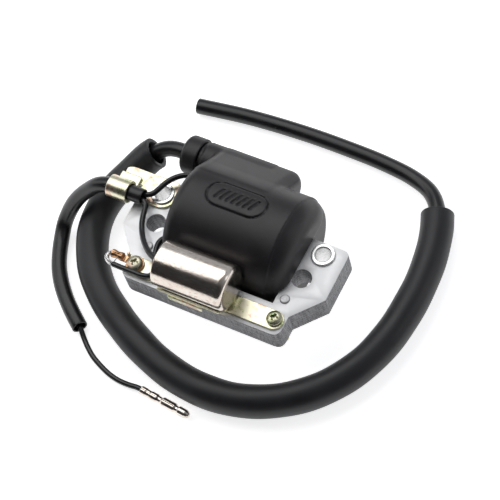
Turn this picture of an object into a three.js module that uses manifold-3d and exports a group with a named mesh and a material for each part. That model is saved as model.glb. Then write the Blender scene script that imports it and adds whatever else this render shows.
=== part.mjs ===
// Ignition coil for a small engine, as an assembly of separate pieces.
//
// Millimetres. +X runs along the coil's iron leg, +Y towards the high-tension tower, +Z up.
// The origin is on the flat moulded land that the coil rests on, under the middle of its axis.

import * as THREE from 'three';
import { mergeVertices } from 'three/addons/utils/BufferGeometryUtils.js';
import Module from 'manifold-3d';

const wasm = await Module();
wasm.setup();

// ---------------------------------------------------------------- driving dimensions

const GAP = 0.3;                // clearance between pieces that touch on the real coil
const AXIS_Z = 23.5;            // height of the coil's axis above the land it rests on
const ROUND_SIDES = 40;         // facets of a large round
const SMALL_SIDES = 24;         // facets of a small round

const CASE_RADIUS = 25;         // the winding case, which the core's window holds
const LEG_BACK = -(CASE_RADIUS + 0.6); // back edge of the core's front leg, clear of the case

const core = {
  thickness: 12,                // height of the stack of sheets
  halfLength: 48,               // middle to the outer edge of an ear
  frontHalfLength: 37.3,        // middle to the end of the front leg
  front: LEG_BACK - 12.9,       // front face
  step: LEG_BACK - 3.3,         // where the front leg's ends widen into the ears
  chamferBack: -16.4,           // where the slanted side of an ear ends
  back: 7.3,                    // back edge of the ears
  windowHalfLength: 28.4,       // middle to the inner edge of an ear
  windowFront: LEG_BACK,
  legWidth: 15,
  cornerRadius: 4,
  earRadius: 3.2,
  lighteningHole: { x: 34.5, y: -11.1, radius: 4.25 },
};

const bush = { x: 38, y: 1.9, bore: 3.2, outer: 4.1, flange: 5.1, flangeThickness: 0.9 };
const rivet = { x: 32.3, y: LEG_BACK + 3.4, shank: 1.5, head: 2.2, headHeight: 0.8 };
const screw = { x: 32.8, y: LEG_BACK - 6.6, shank: 2, head: 3.35, headHeight: 2.2, nutFlat: 7, nutHeight: 3.2 };

const coil = {
  radius: CASE_RADIUS,
  left: -26.5,
  right: 31,
  leftRound: 5,
  rightRound: 10,
  wall: 3,
  endWall: 5.5,
  resinThickness: 4.7,
  resinInset: 1.3,
  bobbinWall: 1.3,
  primaryBuild: 3,              // depth of the primary winding
  secondaryBore: 15.6,
  secondaryWall: 1,
  secondaryBuild: 4.1,          // depth of the secondary winding
  flangeThickness: 1.2,
  panel: { length: 27, width: 12, depth: 0.6, tilt: 4 },
};

const tower = {
  y: 26.8,                      // distance of the tower's axis behind the coil's axis
  radius: 8,
  left: -32.7,
  webRight: 12.2,
  webRound: 5,
  bore: 3.8,
  boreEnd: 4,
  nippleRadius: 5.6,
  nippleLeft: -35.9,
};

const cap = {
  radius: 8.5,
  left: -40.9,
  right: -33,
  wall: 1.8,
  threadRadius: 6,
  leadBore: 3.8,
  sealThickness: 1.5,
  washerThickness: 0.5,
  edge: 1.2,
};

const sheet = 1;                // thickness of the plated steel strips
const condenser = {
  radius: 10,
  left: -18.3,
  right: 14.5,
  caseClearance: 0.413,         // between the can and the winding case
  wall: 0.5,
  edge: 3.2,
  lip: 0.8,
};

const bracket = { front: LEG_BACK - 11.3, back: LEG_BACK - 2.7, endX: 36.9, saddleLeft: -16.6, saddleRight: 12.4 };
const saddleArc = { from: -156, to: -62, flare: 1.3 };
const lug = { left: -13.6, right: 2.4, reach: 0.4, drop: 3, earX: -37.9, earHeight: 2 };
const ringTerminal = { radius: 3.9, thickness: 0.8, barrelRadius: 1.8, barrelBore: 1.15, barrelFar: 11.1, barrelNear: 5.9 };

const clamp = { left: -59.3, right: -49.6, bore: 3.9, loopY: -4.2, front: -4.7, back: 9.2, plateRight: -31.2, tabEnd: 5.2 };

const lead = { radius: 3.5, sleeveRadius: 7.25, sleeveBore: 5.25 };
const wire = { radius: 1.2, sleeveRadius: 3.5, sleeveBore: 2.8, thinRadius: 1.15, strandRadius: 0.95 };
const bullet = { length: 22.6, crimpRadius: 1.9, barrelRadius: 2.05, neckRadius: 1.25, wireBore: 1.45 };

// Heights that follow from the sizes above.
const coreTop = AXIS_Z + core.thickness / 2;
const coreBottom = AXIS_Z - core.thickness / 2;
const stripTop = coreTop + sheet;
const condenserZ = stripTop + condenser.radius + GAP;
const condenserReach = CASE_RADIUS + condenser.radius + condenser.caseClearance;
const condenserY = -Math.sqrt(condenserReach ** 2 - (condenserZ - AXIS_Z) ** 2);
const loopZ = coreTop + sheet + clamp.bore;
const legHalfLength = core.windowHalfLength - GAP;

// ---------------------------------------------------------------- routes of the cords and wires

// High-tension lead: from the tower, down to the bench and once round the coil.
const leadRoute = [
  [-8, 26.8, 23.5], [-25, 26.8, 23.5], [-41, 26.8, 23.5], [-45, 26.8, 23.5],
  [-49.8, 26.2, 22.6], [-54, 24.4, 20.8], [-57.4, 21.5, 18.8], [-60.3, 17.2, 16.7],
  [-63.3, 12.1, 14.5], [-66.2, 7, 12.4], [-69, 0, 9.8], [-70, -7.5, 7.8],
  [-68.6, -15.6, 7.25], [-64.6, -24.4, 7.25], [-58.6, -33, 7.25], [-50.2, -40.9, 7.25],
  [-39.8, -47.8, 7.25], [-28, -54.1, 7.25], [-15.8, -59.2, 7.25], [-3.2, -62.7, 7.25],
  [9.6, -64.2, 7.25], [22.4, -63.4, 7.25], [34.6, -59.9, 7.25], [45.8, -53.9, 7.25],
  [55.4, -45.8, 7.25], [63, -36, 7.25], [68.6, -24.9, 7.25], [72.1, -12.6, 7.25],
  [73.7, 0.6, 7.25], [73.9, 13.8, 7.25], [72.6, 27, 7.25], [69.6, 39.6, 7.25],
  [65.6, 49, 6.9], [59, 56.4, 5.4], [48.6, 60.9, 3.9], [34, 63.1, 3.5],
  [16, 63.9, 3.5], [-6, 63.9, 3.5], [-32, 62.4, 3.5], [-56.8, 59.2, 3.5],
];
const leadSleeveRoute = [[-55.3, 23.35, 20.1], ...leadRoute.slice(6, 32), [66.6, 47.2, 7.1]];

// Primary lead's sleeve: out of the clamp, over the high-tension lead and down to the bench.
const wireSleeveRoute = [
  [-43.2, -4.2, 34.4], [-50, -4.2, 34.4], [-58.6, -4.2, 34.4], [-64.6, -4.9, 32.6],
  [-71.4, -6.8, 26.4], [-77.5, -9.7, 18.9], [-81.3, -13.1, 11.8], [-83, -17.6, 6.2],
  [-81.9, -23.2, 3.8], [-79.2, -30, 3.5], [-75.7, -36.5, 3.5], [-71.2, -42.4, 3.5],
  [-65.9, -47.8, 3.5], [-59.9, -52.8, 3.5], [-53.1, -57.8, 3.5],
];

// Primary lead: out of the coil's end, through the sleeve and on to the bullet terminal.
const primaryRoute = [
  [-25.5, 12.5, 35], [-30.3, 12, 35], [-34.4, 9.4, 35], [-37.3, 5.4, 34.9],
  [-38.9, 1.6, 34.7], [-40.3, -1.2, 34.5], [-43.2, -2.8, 34.4], [-50, -2.8, 34.4],
  [-58.6, -3, 34.4], [-64.6, -4.5, 32.6], ...wireSleeveRoute.slice(4, 14), [-53.1, -57.8, 3.2],
  [-49.9, -60.9, 2], [-46.6, -63.8, 1.4], [-42.2, -66.9, 1.2], [-37.2, -69.3, 1.2],
  [-31.8, -71.3, 1.2], [-26.4, -72.4, 1.3], [-21.2, -72.6, 1.7], [-16.8, -72.35, 2.1], [-13, -72.75, 2.1],
];

const condenserWireRoute = [
  [-50, -5.6, 34.4], [-43.2, -5.6, 34.4], [-41.1, -6.5, 34.3], [-40.1, -8.8, 34.1],
  [-39.3, -11.9, 34.1], [-37.9, -15.4, 34.5], [-35.7, -19.1, 35.1], [-32.9, -22.6, 36.1],
  [-29.3, -26, 37.7], [-24.9, condenserY + 1.8, condenserZ - 1.2], [-20.4, condenserY + 0.1, condenserZ],
];

// Points counted from the middle of the left screw and the top of the strip.
const byScrew = points => points.map(([x, y, z]) => [x - screw.x, y + screw.y, z + stripTop]);
const groundWireRoute = [
  [-25.5, -16.3, 31], [-27.1, -16.9, 31.1], [-28, -18.9, 31.5],
  ...byScrew([
    [5, 10.4, 1.5], [6.2, 6.6, 1.8], [8, 3, 2.1], [9.7, 0, 2.2], [9.2, -3, 2.3],
    [6.2, -4.2, 2.3], [1.3, -4.3, 2.3], [-3.7, -4.3, 2.3], [-8.2, -4.2, 2.3],
  ]),
];
const groundStrandRoute = byScrew([
  [-8.5, -4.2, 2.3], [-10.2, -3.9, 2.2], [-11.8, -2.9, 2], [-12.6, -1.4, 1.8],
  [-12.3, 0, 1.6], [-11.3, 0.6, 1.6], [-9.7, 0.6, 1.6], [-7.6, 0.6, 1.6],
]);

// ---------------------------------------------------------------- finishes

const finish = (color, roughness, metalness) => new THREE.MeshStandardMaterial({ color, roughness, metalness });
const sheetSteel = finish('#c9cacb', 0.35, 0.9);
const brightSteel = finish('#d4d5d6', 0.25, 1);
const zincYellow = finish('#d9cf9f', 0.3, 0.85);
const nickel = finish('#c8bfb6', 0.12, 1);
const caseBlack = finish('#1d1d20', 0.4, 0);
const resinBlack = finish('#141416', 0.55, 0);
const bobbinPlastic = finish('#b8ab8b', 0.5, 0);
const copper = finish('#b4683a', 0.35, 0.9);
const brass = finish('#b9924e', 0.3, 0.95);
const rubber = finish('#1b1b1d', 0.7, 0);
const leadBlack = finish('#202124', 0.4, 0);
const sleeveBlack = finish('#26282b', 0.65, 0);
const paper = finish('#8a7a5c', 0.8, 0);

// ---------------------------------------------------------------- helpers

const ignitionCoil = new THREE.Group();

// Merges shared vertices and turns the faces outwards.
function tidyGeometry(geometry) {
  const bare = geometry.clone();
  bare.deleteAttribute('normal');
  bare.deleteAttribute('uv');
  const merged = mergeVertices(bare, 1e-5);
  const p = merged.attributes.position;
  const index = merged.index.array;
  const a = new THREE.Vector3();
  const b = new THREE.Vector3();
  const c = new THREE.Vector3();
  let volume = 0;
  for (let i = 0; i < index.length; i += 3) {
    a.fromBufferAttribute(p, index[i]);
    b.fromBufferAttribute(p, index[i + 1]);
    c.fromBufferAttribute(p, index[i + 2]);
    volume += a.dot(b.cross(c));
  }
  if (volume < 0) {
    for (let i = 0; i < index.length; i += 3) [index[i], index[i + 1]] = [index[i + 1], index[i]];
  }
  return merged;
}

function toManifold(geometry) {
  const merged = tidyGeometry(geometry);
  const mesh = new wasm.Mesh({
    numProp: 3,
    vertProperties: new Float32Array(merged.attributes.position.array),
    triVerts: new Uint32Array(merged.index.array),
  });
  return new wasm.Manifold(mesh);
}

function fromManifold(solid) {
  const mesh = solid.getMesh();
  const geometry = new THREE.BufferGeometry();
  geometry.setAttribute('position', new THREE.BufferAttribute(mesh.vertProperties, 3));
  geometry.setIndex(new THREE.BufferAttribute(mesh.triVerts, 1));
  return geometry;
}

// Joins the first list of geometries and cuts the second list away.
function carve(joined, cuts = []) {
  let solid = toManifold(joined[0]);
  for (const piece of joined.slice(1)) solid = solid.add(toManifold(piece));
  for (const piece of cuts) solid = solid.subtract(toManifold(piece));
  return fromManifold(solid);
}

function addPiece(name, geometry, material) {
  const mesh = new THREE.Mesh(tidyGeometry(geometry), material);
  mesh.name = name;
  ignitionCoil.add(mesh);
}

function block([x0, y0, z0], [x1, y1, z1]) {
  const geometry = new THREE.BoxGeometry(x1 - x0, y1 - y0, z1 - z0);
  return geometry.translate((x0 + x1) / 2, (y0 + y1) / 2, (z0 + z1) / 2);
}

// A closed outline [[axial, radius], ...] turned about the axis along X at (y, z).
function turnedX(outline, y, z, sides = SMALL_SIDES) {
  const profile = outline.map(([x, r]) => new THREE.Vector2(r, x));
  profile.push(profile[0].clone());
  const turn = new THREE.Matrix4().makeBasis(
    new THREE.Vector3(0, 1, 0), new THREE.Vector3(1, 0, 0), new THREE.Vector3(0, 0, -1));
  return new THREE.LatheGeometry(profile, sides).applyMatrix4(turn).translate(0, y, z);
}

// The same about the axis along Z at (x, y).
function turnedZ(outline, x, y, sides = SMALL_SIDES) {
  const profile = outline.map(([z, r]) => new THREE.Vector2(r, z));
  profile.push(profile[0].clone());
  return new THREE.LatheGeometry(profile, sides).rotateX(Math.PI / 2).translate(x, y, 0);
}

const rodX = (x0, x1, radius, y, z, sides) => turnedX([[x0, 0], [x0, radius], [x1, radius], [x1, 0]], y, z, sides);
const rodZ = (z0, z1, radius, x, y, sides) => turnedZ([[z0, 0], [z0, radius], [z1, radius], [z1, 0]], x, y, sides);

// Points of an arc, angles in degrees.
function arc(cx, cy, radius, from, to, count) {
  return Array.from({ length: count + 1 }, (_, i) => {
    const angle = THREE.MathUtils.degToRad(from + (to - from) * i / count);
    return [cx + radius * Math.cos(angle), cy + radius * Math.sin(angle)];
  });
}

const shapeOf = points => new THREE.Shape(points.map(([x, y]) => new THREE.Vector2(x, y)));

// An outline of [x, y, corner radius], with each corner rounded.
function roundedOutline(corners, segments = 4) {
  const shape = new THREE.Shape();
  corners.forEach(([x, y, radius = 0], i) => {
    const corner = new THREE.Vector2(x, y);
    const before = new THREE.Vector2(...corners.at(i - 1).slice(0, 2)).sub(corner).normalize();
    const after = new THREE.Vector2(...corners[(i + 1) % corners.length].slice(0, 2)).sub(corner).normalize();
    const start = corner.clone().addScaledVector(before, radius);
    const end = corner.clone().addScaledVector(after, radius);
    if (i === 0) shape.moveTo(start.x, start.y);
    else shape.lineTo(start.x, start.y);
    for (let k = 1; k <= segments && radius > 0; k += 1) {
      const t = k / segments;
      const near = start.clone().lerp(corner, t);
      const far = corner.clone().lerp(end, t);
      const point = near.lerp(far, t);
      shape.lineTo(point.x, point.y);
    }
  });
  shape.closePath();
  return shape;
}

// A flat outline in X and Y, raised from z0 to z1.
function plate(shape, z0, z1) {
  return new THREE.ExtrudeGeometry(shape, { depth: z1 - z0, bevelEnabled: false, curveSegments: 6 }).translate(0, 0, z0);
}

// An outline in Y and Z, drawn out along X.
function profileX(shape, x0, x1, round = 0) {
  const geometry = new THREE.ExtrudeGeometry(shape, {
    depth: x1 - x0 - 2 * round,
    bevelEnabled: round > 0,
    bevelThickness: round,
    bevelSize: round,
    bevelSegments: 4,
    curveSegments: ROUND_SIDES,
  });
  const turn = new THREE.Matrix4().makeBasis(
    new THREE.Vector3(0, 1, 0), new THREE.Vector3(0, 0, 1), new THREE.Vector3(1, 0, 0));
  return geometry.applyMatrix4(turn).translate(x0 + round, 0, 0);
}

// A strip of sheet that follows a line of [y, z] points.
function ribbon(line, thickness) {
  const points = line.map(([y, z]) => new THREE.Vector2(y, z));
  const side = offset => points.map((point, i) => {
    const before = points[Math.max(i - 1, 0)];
    const after = points[Math.min(i + 1, points.length - 1)];
    const along = after.clone().sub(before).normalize();
    return [point.x - along.y * offset, point.y + along.x * offset];
  });
  return shapeOf([...side(thickness / 2), ...side(-thickness / 2).reverse()]);
}

function tube(route, radius, { sides = 8, step = 6, bore = 0 } = {}) {
  const path = new THREE.CatmullRomCurve3(route.map(p => new THREE.Vector3(...p)), false, 'centripetal');
  const section = shapeOf(arc(0, 0, radius, 0, 360 - 360 / sides, sides - 1));
  if (bore > 0) {
    const inside = arc(0, 0, bore, 0, 360 - 360 / sides, sides - 1).reverse();
    section.holes.push(new THREE.Path(inside.map(([x, y]) => new THREE.Vector2(x, y))));
  }
  const steps = Math.min(80, Math.max(4, Math.round(path.getLength() / step)));
  return new THREE.ExtrudeGeometry(section, { steps, extrudePath: path, bevelEnabled: false });
}

// ---------------------------------------------------------------- iron core

function coreYoke() {
  const half = side => [
    [side * core.frontHalfLength, core.front, core.cornerRadius],
    [side * core.frontHalfLength, core.step],
    [side * core.halfLength, core.chamferBack],
    [side * core.halfLength, core.back, core.earRadius],
    [side * core.windowHalfLength, core.back],
    [side * core.windowHalfLength, core.windowFront],
  ];
  const stack = plate(roundedOutline([...half(1), ...half(-1).reverse()]), coreBottom, coreTop);
  const through = (x, y, radius) => rodZ(coreBottom - 1, coreTop + 1, radius, x, y);
  const holes = [-1, 1].flatMap(side => [
    through(side * core.lighteningHole.x, core.lighteningHole.y, core.lighteningHole.radius),
    through(side * bush.x, bush.y, bush.outer + GAP / 2),
    through(side * rivet.x, rivet.y, rivet.shank + GAP / 2),
    through(side * screw.x, screw.y, screw.shank + GAP / 2),
  ]);
  return carve([stack], holes);
}

addPiece('core_yoke', coreYoke(), sheetSteel);
addPiece('core_leg', block(
  [-legHalfLength, -core.legWidth / 2, coreBottom],
  [legHalfLength, core.legWidth / 2, coreTop]), sheetSteel);

function rivetShape(side) {
  const { shank, head, headHeight } = rivet;
  return turnedZ([
    [coreBottom - headHeight, 0], [coreBottom - headHeight, head * 0.75], [coreBottom, head], [coreBottom, shank],
    [coreTop, shank], [coreTop, head], [coreTop + headHeight, head * 0.75], [coreTop + headHeight, 0],
  ], side * rivet.x, rivet.y);
}

// A steel eyelet: a flange on top, a rolled collar underneath. topZ is the face the flange sits on.
function bushShape(side, topZ) {
  const { bore, outer, flange, flangeThickness } = bush;
  const bottom = coreBottom - flangeThickness;
  const top = topZ + flangeThickness;
  return turnedZ([
    [bottom, bore], [bottom, flange - 0.4], [bottom + 0.4, flange], [coreBottom, flange], [coreBottom, outer],
    [topZ, outer], [topZ, flange], [top - 0.4, flange], [top, flange - 0.4], [top, bore],
  ], side * bush.x, bush.y, 32);
}

addPiece('rivet_left', rivetShape(-1), sheetSteel);
addPiece('rivet_right', rivetShape(1), sheetSteel);
addPiece('bush_left', bushShape(-1, stripTop), brightSteel);
addPiece('bush_right', bushShape(1, coreTop), brightSteel);

// ---------------------------------------------------------------- coil case and windings

// The round of the coil and the round of the tower, joined by flat tangent sides.
function caseOutline(mainRadius, towerRadius) {
  const theta = Math.acos((coil.radius - tower.radius) / tower.y);
  const degrees = THREE.MathUtils.radToDeg(theta);
  return shapeOf([
    ...arc(0, AXIS_Z, mainRadius, degrees, 360 - degrees, 36),
    ...arc(tower.y, AXIS_Z, towerRadius, -degrees, degrees, 10),
  ]);
}

const cavityRadius = coil.radius - coil.wall;
const cavityRight = coil.right - coil.endWall;
const resinLeft = coil.left + coil.resinInset;
const resinRight = resinLeft + coil.resinThickness;
const windingLeft = resinRight + GAP;
const windingRight = cavityRight - GAP;
const legSlot = { y: core.legWidth / 2 + GAP, z: core.thickness / 2 + GAP };

function coilCase() {
  const { radius, left, right, leftRound, rightRound } = coil;
  const body = turnedX([
    [left, 0],
    ...arc(left + leftRound, radius - leftRound, leftRound, 180, 90, 4),
    ...arc(right - rightRound, radius - rightRound, rightRound, 90, 0, 7),
    [right, 0],
  ], 0, AXIS_Z, ROUND_SIDES);
  const web = profileX(
    caseOutline(radius - tower.webRound, tower.radius - tower.webRound), left, tower.webRight, tower.webRound);
  const towerEnd = turnedX([
    [tower.left, 0], [tower.left, tower.radius - 0.6], [tower.left + 0.6, tower.radius],
    [left + leftRound, tower.radius], [left + leftRound, 0],
  ], tower.y, AXIS_Z, 32);
  const nipple = rodX(tower.nippleLeft, tower.left + 1, tower.nippleRadius, tower.y, AXIS_Z);

  const reach = radius + tower.y;
  const earTop = coreTop + GAP;
  const cuts = [
    block([-reach, -reach, -radius], [reach, reach, 0]),
    rodX(left - 1, cavityRight, cavityRadius, 0, AXIS_Z, ROUND_SIDES),
    block([cavityRight - 1, -legSlot.y, AXIS_Z - legSlot.z], [right + 1, legSlot.y, AXIS_Z + legSlot.z]),
    block([core.windowHalfLength - GAP, -reach, -1], [right + 1, reach, earTop]),
    block([core.windowHalfLength - 1.3, -reach, coreBottom - GAP], [right + 1, core.back + GAP, earTop]),
    rodX(tower.nippleLeft - 1, tower.boreEnd, tower.bore, tower.y, AXIS_Z),
    block([0, cavityRadius - 1, AXIS_Z - 1.2], [2.6, tower.y, AXIS_Z + 1.2]),
    labelPanel(),
  ];
  return carve([body, web, towerEnd, nipple], cuts);
}

// A blank sunk panel on top of the case, where a label would go.
function labelPanel() {
  const { length, width, depth, tilt } = coil.panel;
  const band = turnedX([
    [-length / 2, coil.radius - depth], [-length / 2, coil.radius + 2],
    [length / 2, coil.radius + 2], [length / 2, coil.radius - depth],
  ], 0, AXIS_Z, 64);
  const outline = plate(roundedOutline([
    [-length / 2, -width / 2, 5], [length / 2, -width / 2, 5],
    [length / 2, width / 2, 5], [-length / 2, width / 2, 5],
  ], 6), AXIS_Z + coil.radius / 2, AXIS_Z + coil.radius + 3).translate(0, tilt, 0);
  return fromManifold(toManifold(band).intersect(toManifold(outline)));
}

addPiece('coil_case', coilCase(), caseBlack);

addPiece('end_resin', carve(
  [rodX(resinLeft, resinRight, cavityRadius - GAP, 0, AXIS_Z, ROUND_SIDES)],
  [block([resinLeft - 1, -legSlot.y, AXIS_Z - legSlot.z], [resinRight + 1, legSlot.y, AXIS_Z + legSlot.z])],
), resinBlack);

// A rounded rectangle about the leg, margin outside it.
function aroundLeg(margin, radius) {
  const y = core.legWidth / 2 + margin;
  const z = core.thickness / 2 + margin;
  return roundedOutline([[-y, AXIS_Z - z, radius], [y, AXIS_Z - z, radius], [y, AXIS_Z + z, radius], [-y, AXIS_Z + z, radius]]);
}

function primaryBobbin() {
  const tubeWall = GAP + coil.bobbinWall;
  const flange = tubeWall + coil.primaryBuild + GAP;
  const flangeAt = x => profileX(aroundLeg(flange, 4), x, x + coil.flangeThickness);
  return carve([
    profileX(aroundLeg(tubeWall, 1), windingLeft, windingRight),
    flangeAt(windingLeft),
    flangeAt(windingRight - coil.flangeThickness),
  ], [block([windingLeft - 1, -legSlot.y, AXIS_Z - legSlot.z], [windingRight + 1, legSlot.y, AXIS_Z + legSlot.z])]);
}

function primaryWinding() {
  const inside = GAP + coil.bobbinWall + GAP;
  const x0 = windingLeft + coil.flangeThickness + GAP;
  const x1 = windingRight - coil.flangeThickness - GAP;
  return carve(
    [profileX(aroundLeg(inside + coil.primaryBuild - GAP, 4), x0, x1)],
    [profileX(aroundLeg(inside, 1), x0 - 1, x1 + 1)]);
}

function secondaryBobbin() {
  const { secondaryBore: bore, secondaryWall: wall, secondaryBuild: build, flangeThickness: flange } = coil;
  const tubeRadius = bore + wall;
  const rim = tubeRadius + GAP + build + GAP;
  return turnedX([
    [windingLeft, bore], [windingLeft, rim], [windingLeft + flange, rim], [windingLeft + flange, tubeRadius],
    [windingRight - flange, tubeRadius], [windingRight - flange, rim], [windingRight, rim], [windingRight, bore],
  ], 0, AXIS_Z, 40);
}

function secondaryWinding() {
  const inner = coil.secondaryBore + coil.secondaryWall + GAP;
  const outer = inner + coil.secondaryBuild;
  const x0 = windingLeft + coil.flangeThickness + GAP;
  const x1 = windingRight - coil.flangeThickness - GAP;
  return turnedX([[x0, inner], [x0, outer], [x1, outer], [x1, inner]], 0, AXIS_Z, 40);
}

addPiece('primary_bobbin', primaryBobbin(), bobbinPlastic);
addPiece('primary_winding', primaryWinding(), copper);
addPiece('secondary_bobbin', secondaryBobbin(), bobbinPlastic);
addPiece('secondary_winding', secondaryWinding(), copper);

// ---------------------------------------------------------------- high-tension outlet

// A brass button that the lead's core bears on, with a tongue to the secondary winding.
const contactLeft = leadRoute[0][0] + GAP;
addPiece('ht_contact', carve([
  turnedX([
    [contactLeft, 0], [contactLeft, tower.bore - 0.5], [contactLeft + 1.2, tower.bore - 0.5],
    [contactLeft + 1.2, 1], [2, 1], [2, 0],
  ], tower.y, AXIS_Z, 16),
  block([0.6, cavityRadius - 0.6, AXIS_Z - 0.8], [2, tower.y, AXIS_Z + 0.8]),
]), brass);

addPiece('ht_cap', turnedX([
  [cap.left, cap.leadBore],
  [cap.left, cap.radius - cap.edge],
  [cap.left + cap.edge, cap.radius],
  [cap.right - 0.5, cap.radius],
  [cap.right, cap.radius - 0.5],
  [cap.right, cap.threadRadius],
  [cap.left + cap.wall, cap.threadRadius],
  [cap.left + cap.wall, cap.leadBore],
], tower.y, AXIS_Z, 32), caseBlack);

const ringX = (x0, x1, inner, outer) =>
  turnedX([[x0, inner], [x0, outer], [x1, outer], [x1, inner]], tower.y, AXIS_Z);
const washerLeft = cap.left + cap.wall + GAP;
const sealRight = tower.nippleLeft - GAP;

addPiece('thrust_washer',
  ringX(washerLeft, washerLeft + cap.washerThickness, cap.leadBore, cap.threadRadius - GAP), brightSteel);
addPiece('lead_seal',
  ringX(sealRight - cap.sealThickness, sealRight, cap.leadBore, cap.threadRadius - GAP - 0.2), rubber);

addPiece('ht_lead', tube(leadRoute, lead.radius, { sides: 8, step: 8 }), leadBlack);
addPiece('ht_sleeve', tube(leadSleeveRoute, lead.sleeveRadius, { sides: 10, step: 11, bore: lead.sleeveBore }), sleeveBlack);

// ---------------------------------------------------------------- condenser

const insideRadius = condenser.radius - condenser.wall;
const sealLeft = condenser.left + condenser.lip;
const sealEnd = sealLeft + 2.6;

addPiece('condenser_can', turnedX([
  [condenser.left, insideRadius - 0.9],
  [condenser.left, condenser.radius - 0.6],
  [condenser.left + 0.6, condenser.radius],
  ...arc(condenser.right - condenser.edge, condenser.radius - condenser.edge, condenser.edge, 90, 0, 4),
  [condenser.right, 0],
  [condenser.right - condenser.wall, 0],
  [condenser.right - condenser.wall, insideRadius - condenser.edge],
  [condenser.right - condenser.edge, insideRadius],
  [condenser.left + condenser.wall, insideRadius],
  [condenser.left + condenser.wall, insideRadius - 0.9],
], condenserY, condenserZ, 40), nickel);

addPiece('condenser_seal', turnedX([
  [sealLeft, 2], [sealLeft, insideRadius - GAP], [sealEnd, insideRadius - GAP], [sealEnd, 2],
], condenserY, condenserZ, 32), rubber);

addPiece('condenser_tag', turnedX([
  [condenser.left - 1.4, 0], [condenser.left - 1.4, 1.6], [sealLeft - GAP, 2.6], [sealLeft - GAP, 1.7],
  [sealEnd, 1.7], [sealEnd, 0],
], condenserY, condenserZ, 16), brass);

addPiece('condenser_roll',
  rodX(sealEnd + GAP, condenser.right - condenser.edge, insideRadius - GAP, condenserY, condenserZ, 32), paper);

// A strip under both screws, curved up in the middle into a saddle, with a lug over the core's front edge.
function condenserBracket() {
  const { front, back, endX, saddleLeft, saddleRight } = bracket;
  const round = (back - front) / 2 - 0.2;
  const outer = plate(roundedOutline([[-endX, front, round], [endX, front, round], [endX, back, round], [-endX, back, round]]),
    coreTop, stripTop);
  const middle = condenser.radius + GAP + sheet / 2;
  const curve = arc(condenserY, condenserZ, middle, saddleArc.from, saddleArc.to, 16);
  const [edgeY, edgeZ] = curve[0];
  const saddle = profileX(
    ribbon([[edgeY - saddleArc.flare, edgeZ + saddleArc.flare * 0.6], ...curve], sheet), saddleLeft, saddleRight);
  const lip = core.front - lug.reach;
  const tongue = block([lug.left, lip - sheet, coreTop], [lug.right, front + 1, stripTop]);
  const fold = block([lug.left, lip - sheet, stripTop - lug.drop], [lug.right, lip, stripTop]);
  const ear = block([lug.earX, back - 1.6, coreTop], [lug.earX + sheet, back - 0.4, stripTop + lug.earHeight]);
  const earRoot = block([lug.earX, back - 1.6, coreTop], [-screw.x, back - 0.4, stripTop]);
  const holes = [-1, 1].map(side => rodZ(coreTop - 1, stripTop + 1, screw.shank + GAP / 2, side * screw.x, screw.y));
  return carve([outer, saddle, tongue, fold, earRoot, ear], holes);
}

addPiece('condenser_bracket', condenserBracket(), zincYellow);

// ---------------------------------------------------------------- screws, nuts and ring terminal

function screwShape(side, seat) {
  const { shank, head, headHeight } = screw;
  const top = seat + headHeight;
  const shape = turnedZ([
    [coreBottom - screw.nutHeight - 1, 0], [coreBottom - screw.nutHeight - 1, shank], [seat, shank], [seat, head],
    [seat + headHeight * 0.45, head], [top - 0.2, head * 0.72], [top, head * 0.4], [top, 0],
  ], side * screw.x, screw.y);
  const slot = (halfX, halfY) => block(
    [side * screw.x - halfX, screw.y - halfY, top - 0.9], [side * screw.x + halfX, screw.y + halfY, top + 1]);
  return carve([shape], [slot(1.6, 0.35), slot(0.35, 1.6)]);
}

function nutShape(side) {
  const corner = screw.nutFlat / 2 / Math.cos(Math.PI / 6);
  const outline = shapeOf(arc(side * screw.x, screw.y, corner, 0, 300, 5));
  const body = plate(outline, coreBottom - screw.nutHeight, coreBottom);
  return carve([body], [rodZ(coreBottom - screw.nutHeight - 1, coreBottom + 1, screw.shank + GAP / 2, side * screw.x, screw.y)]);
}

addPiece('screw_left', screwShape(-1, stripTop + ringTerminal.thickness), zincYellow);
addPiece('screw_right', screwShape(1, stripTop), zincYellow);
addPiece('nut_left', nutShape(-1), zincYellow);
addPiece('nut_right', nutShape(1), zincYellow);

function ringTerminalShape() {
  const { radius, thickness, barrelRadius, barrelBore, barrelFar, barrelNear } = ringTerminal;
  const barrelLeft = -screw.x - barrelFar;
  const barrelRight = -screw.x - barrelNear;
  const top = stripTop + thickness;
  const [, barrelY, barrelZ] = groundStrandRoute.at(-1);
  const ring = rodZ(stripTop, top, radius, -screw.x, screw.y);
  const tongue = block([barrelRight - 1, barrelY - 1.5, stripTop], [-screw.x, barrelY + 1.5, top]);
  const barrel = rodX(barrelLeft, barrelRight, barrelRadius, barrelY, barrelZ);
  return carve([ring, tongue, barrel], [
    rodX(barrelLeft - 1, barrelRight - 1, barrelBore, barrelY, barrelZ),
    rodZ(stripTop - 1, top + 1, screw.shank + GAP / 2, -screw.x, screw.y),
    block([barrelRight - 2, barrelY - 3, 0], [-screw.x, barrelY + 3, stripTop]),
  ]);
}

addPiece('ring_terminal', ringTerminalShape(), copper);

// ---------------------------------------------------------------- lead clamp

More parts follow.
